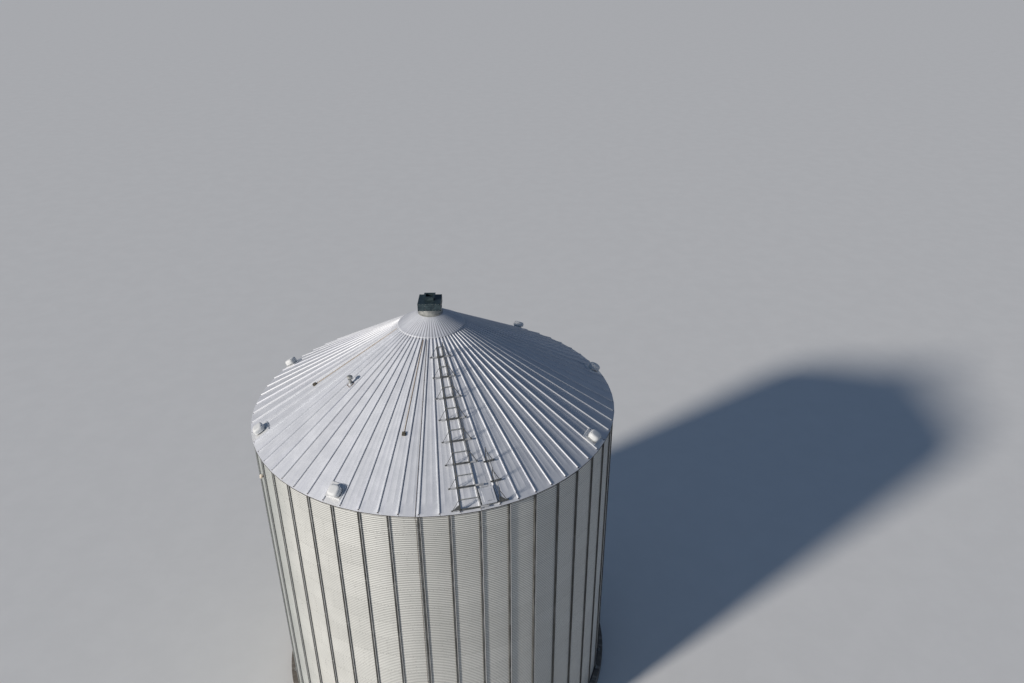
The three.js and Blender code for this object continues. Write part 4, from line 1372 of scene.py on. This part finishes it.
def sensor(side, bay, corner_r):
    """Housing with a screwed cover and a gland, and clips on the conduit."""
    place = bay_frame(bay, corner_r)
    w = SENSOR_W / 2
    length = SENSOR_L / 2
    lift = CONDUIT_R + 0.001
    run = (corner_r - CAP_R - PEAK_GAP) / math.cos(PITCH)
    body = Shape().add(block(w, length, 0.004, SENSOR_H - 0.02), place)
    body.add(block(w + 0.008, length + 0.008, SENSOR_H - 0.021, SENSOR_H), place)
    body.add(block(w + 0.03, length - 0.02, 0.004, 0.009), place)
    hose = Shape().add(tube([(0, y, lift) for y in (length - 0.02, run / 2, run)], CONDUIT_R, 12), place)
    hose.build(f"sensor_{side}_conduit", TAN, smooth=40, slot="rusty_steel")
    gland = [(0, length - 0.01, CONDUIT_R + 0.012), (0, length + 0.05, CONDUIT_R + 0.006)]
    body.add(tube(gland, CONDUIT_R + 0.012, 8), place)
    piece = body.build(f"sensor_{side}_housing", OLIVE, smooth=40, bevel=0.003, slot="rusty_steel")
    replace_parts(piece, f"level_sensor_{side}")

    clips = Shape()
    for y in np.linspace(0, run, int(run / CLIP_SPACING) + 2)[1:-1]:
        on_run = place @ shift(0, y, 0)
        clips.add(block(CONDUIT_R + 0.03, 0.012, 0.0005, 0.005), on_run)
        clips.add(tube([(0, -0.012, lift), (0, 0.012, lift)], CONDUIT_R + 0.003, 10), on_run)
    clips.bolts(place, (0.012 - w, w - 0.012), (0.012 - length, length - 0.012), SENSOR_H, SCREW_SIZE)
    clips.build(f"sensor_{side}_clips", BOLT, smooth=40)


def rod_clips():
    """Clips that hold the lightning rod on the roof and stand-offs that hold it on the wall."""
    clips = Shape()
    bay = bay_frame(ROD_BAY, 0)
    top = Vector((rib_side(CAP_R + PEAK_GAP) - ROD_OFF_TOP, slope_at(CAP_R + PEAK_GAP), 0))
    eave = Vector((rib_side(ROD_EAVE_R) - ROD_OFF_EAVE, slope_at(ROD_EAVE_R), 0))
    for i in range(1, ROD_CLIPS):
        spot = bay @ Matrix.Translation(top.lerp(eave, i / ROD_CLIPS))
        clips.add(block(0.03, 0.012, 0.0005, 0.018), spot)
    eave = bay @ eave
    angle = math.atan2(eave.x, -eave.y)
    for ring in range(RING_COUNT):
        place = wall_frame(angle, WALL_R, PLINTH_TOP + (ring + 0.5) * RING_H)
        clips.add(box((-0.02, -0.012, -0.02), (0.02, 0.002, 0.02)), place)
        clips.add(box((-0.016, 0.0, -0.008), (0.016, ROD_WALL_OFF + 0.016, 0.008)), place)
    clips.build("rod_clips", BAR, bevel=BAR_EDGE)


def eave_lamp():
    """Small flood lamp below the eave: a leaning barrel with ribs and a glass end, on a wall bracket."""
    flat_r = WALL_R * math.cos(TURN / WALL_FACETS / 2)
    place = wall_frame(LAMP_ANGLE, flat_r, WALL_TOP - LAMP_DROP)
    lean = place @ shift(0, LAMP_OUT, 0) @ Matrix.Rotation(LAMP_LEAN, 4, "Y")
    half = LAMP_L / 2
    barrel = [
        (LAMP_R * 0.9, -half + 0.01), (LAMP_R, -half + 0.016), (LAMP_R, half - 0.07),
        (LAMP_R * 0.9, half - 0.03), (LAMP_R * 0.6, half - 0.008), (LAMP_R * 0.2, half),
    ]
    body = Shape().add(turned(barrel, LAMP_SIDES), lean)
    for i in range(LAMP_FINS):
        z = half - 0.09 - i * LAMP_FIN_SPACING
        body.add(turned([(LAMP_R + 0.005, z - 0.006), (LAMP_R + 0.005, z)], LAMP_SIDES), lean)
    piece = body.build("lamp_barrel", CREAM, smooth=40, slot="cream_paint")
    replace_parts(piece, "eave_lamp")
    glass = Shape().add(turned([(LAMP_R * 0.84, -half), (LAMP_R * 0.9, -half + 0.012)], LAMP_SIDES), lean)
    glass.build("lamp_glass", GLASS, smooth=40, slot="dark_paint")
    bracket = Shape().add(box((-0.15, -0.012, -0.05), (-0.09, 0.006, 0.12)), place)
    bracket.add(box((-0.13, 0.0, 0.01), (-0.11, LAMP_OUT, 0.05)), place)
    bracket.add(box((-0.12, LAMP_OUT - 0.012, 0.01), (-0.05, LAMP_OUT + 0.012, 0.05)), place)
    bracket.build("lamp_bracket", RUST, bevel=0.001)


def plinth():
    """Round concrete base with a chamfered rim, and a bitumen fillet at the wall's foot."""
    rows = [
        (PLINTH_R - 0.004, 0.0), (PLINTH_R - 0.002, 0.18), (PLINTH_R - 0.006, 0.37),
        (PLINTH_R - 0.004, PLINTH_TOP - PLINTH_CHAMFER), (PLINTH_R - PLINTH_CHAMFER, PLINTH_TOP),
    ]
    base = Shape().add(turned(rows, PLINTH_SIDES, -TURN / 4))
    piece = base.build("plinth_ring", CONCRETE, smooth=25, slot="concrete")
    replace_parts(piece, "foundation_plinth")
    profile = [(-0.02, 0.0005), (FILLET, 0.0005), (FILLET * 0.8, 0.01), (0.004, 0.055), (-0.02, 0.055)]
    seal = hoop([(WALL_R + out, PLINTH_TOP + rise) for out, rise in profile], WALL_FACETS)
    Shape().add(seal).build("foot_seal", BITUMEN_AND_SHADE, smooth=40, slot="concrete")


def anchors():
    """Base plate, gussets and anchor bolts at the foot of every stiffener."""
    plates = Shape()
    bolts = Shape()
    stud = turned([(0.010, 0.0), (0.010, 0.05)], 8)
    for i in range(STIFFENERS):
        place = wall_frame(i * STIFF_PITCH, WALL_R + STIFF_DEPTH, PLINTH_TOP)
        plates.add(box((-ANCHOR_HALF_W, 0.001, SKIN_GAP), (ANCHOR_HALF_W, ANCHOR_REACH, ANCHOR_T)), place)
        for side in (-1, 1):
            x = side * (STIFF_LIP + STIFF_MOUTH) / 2
            top = ANCHOR_T + GUSSET_H
            corners = [(x, 0.001, ANCHOR_T), (x, 0.10, ANCHOR_T), (x, 0.012, top), (x, 0.001, top)]
            plates.add(plate(corners, GUSSET_T), place)
            seat = place @ shift(side * 0.085, 0.06, ANCHOR_T)
            bolts.bolt(seat, ANCHOR_BOLT_SIZE)
            bolts.add(stud, seat)
    plates.build("anchor_plates", BAR, bevel=0.001)
    bolts.build("anchor_bolts", BOLT)


set_camera()
set_light()
set_floor()
for sector in range(SECTORS):
    wall_sheets(sector)
    stiffeners(sector)
    seam_bolts(sector)
    roof = roof_sheets(sector)
    if sector == HATCH_SECTOR:
        opening = block(HATCH_HOLE_W / 2, HATCH_HOLE_L / 2, -0.2, 0.2)
        hole = Shape().add(opening, bay_frame(HATCH_BAY, HATCH_R))
        cut(roof, hole.build("hatch_hole", ROOF, slot=None))
    rib_screws(sector)
eave_angle()
peak_cap()
peak_fittings()
roof_steps()
handrails()
hatch_details()
for index in range(len(VENT_OFFSETS)):
    vent(index)
stack_vent()
for side, bay, corner_r in SENSORS:
    sensor(side, bay, corner_r)
rod_clips()
eave_lamp()
plinth()
anchors()

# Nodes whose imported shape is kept, with their finish
KEPT_NODES = (
    ("peak_collar", BAR),
    # The inlet's dark finish is partly painted shade
    ("inlet_box", DARK),
    ("inlet_neck", DARK),
    ("hatch_frame", BAR),
    ("hatch_lid", ROOF),
    ("lightning_rod", ROD),
)
for node, material in KEPT_NODES:
    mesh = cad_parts[node].data
    mesh.materials.clear()
    mesh.materials.append(material)
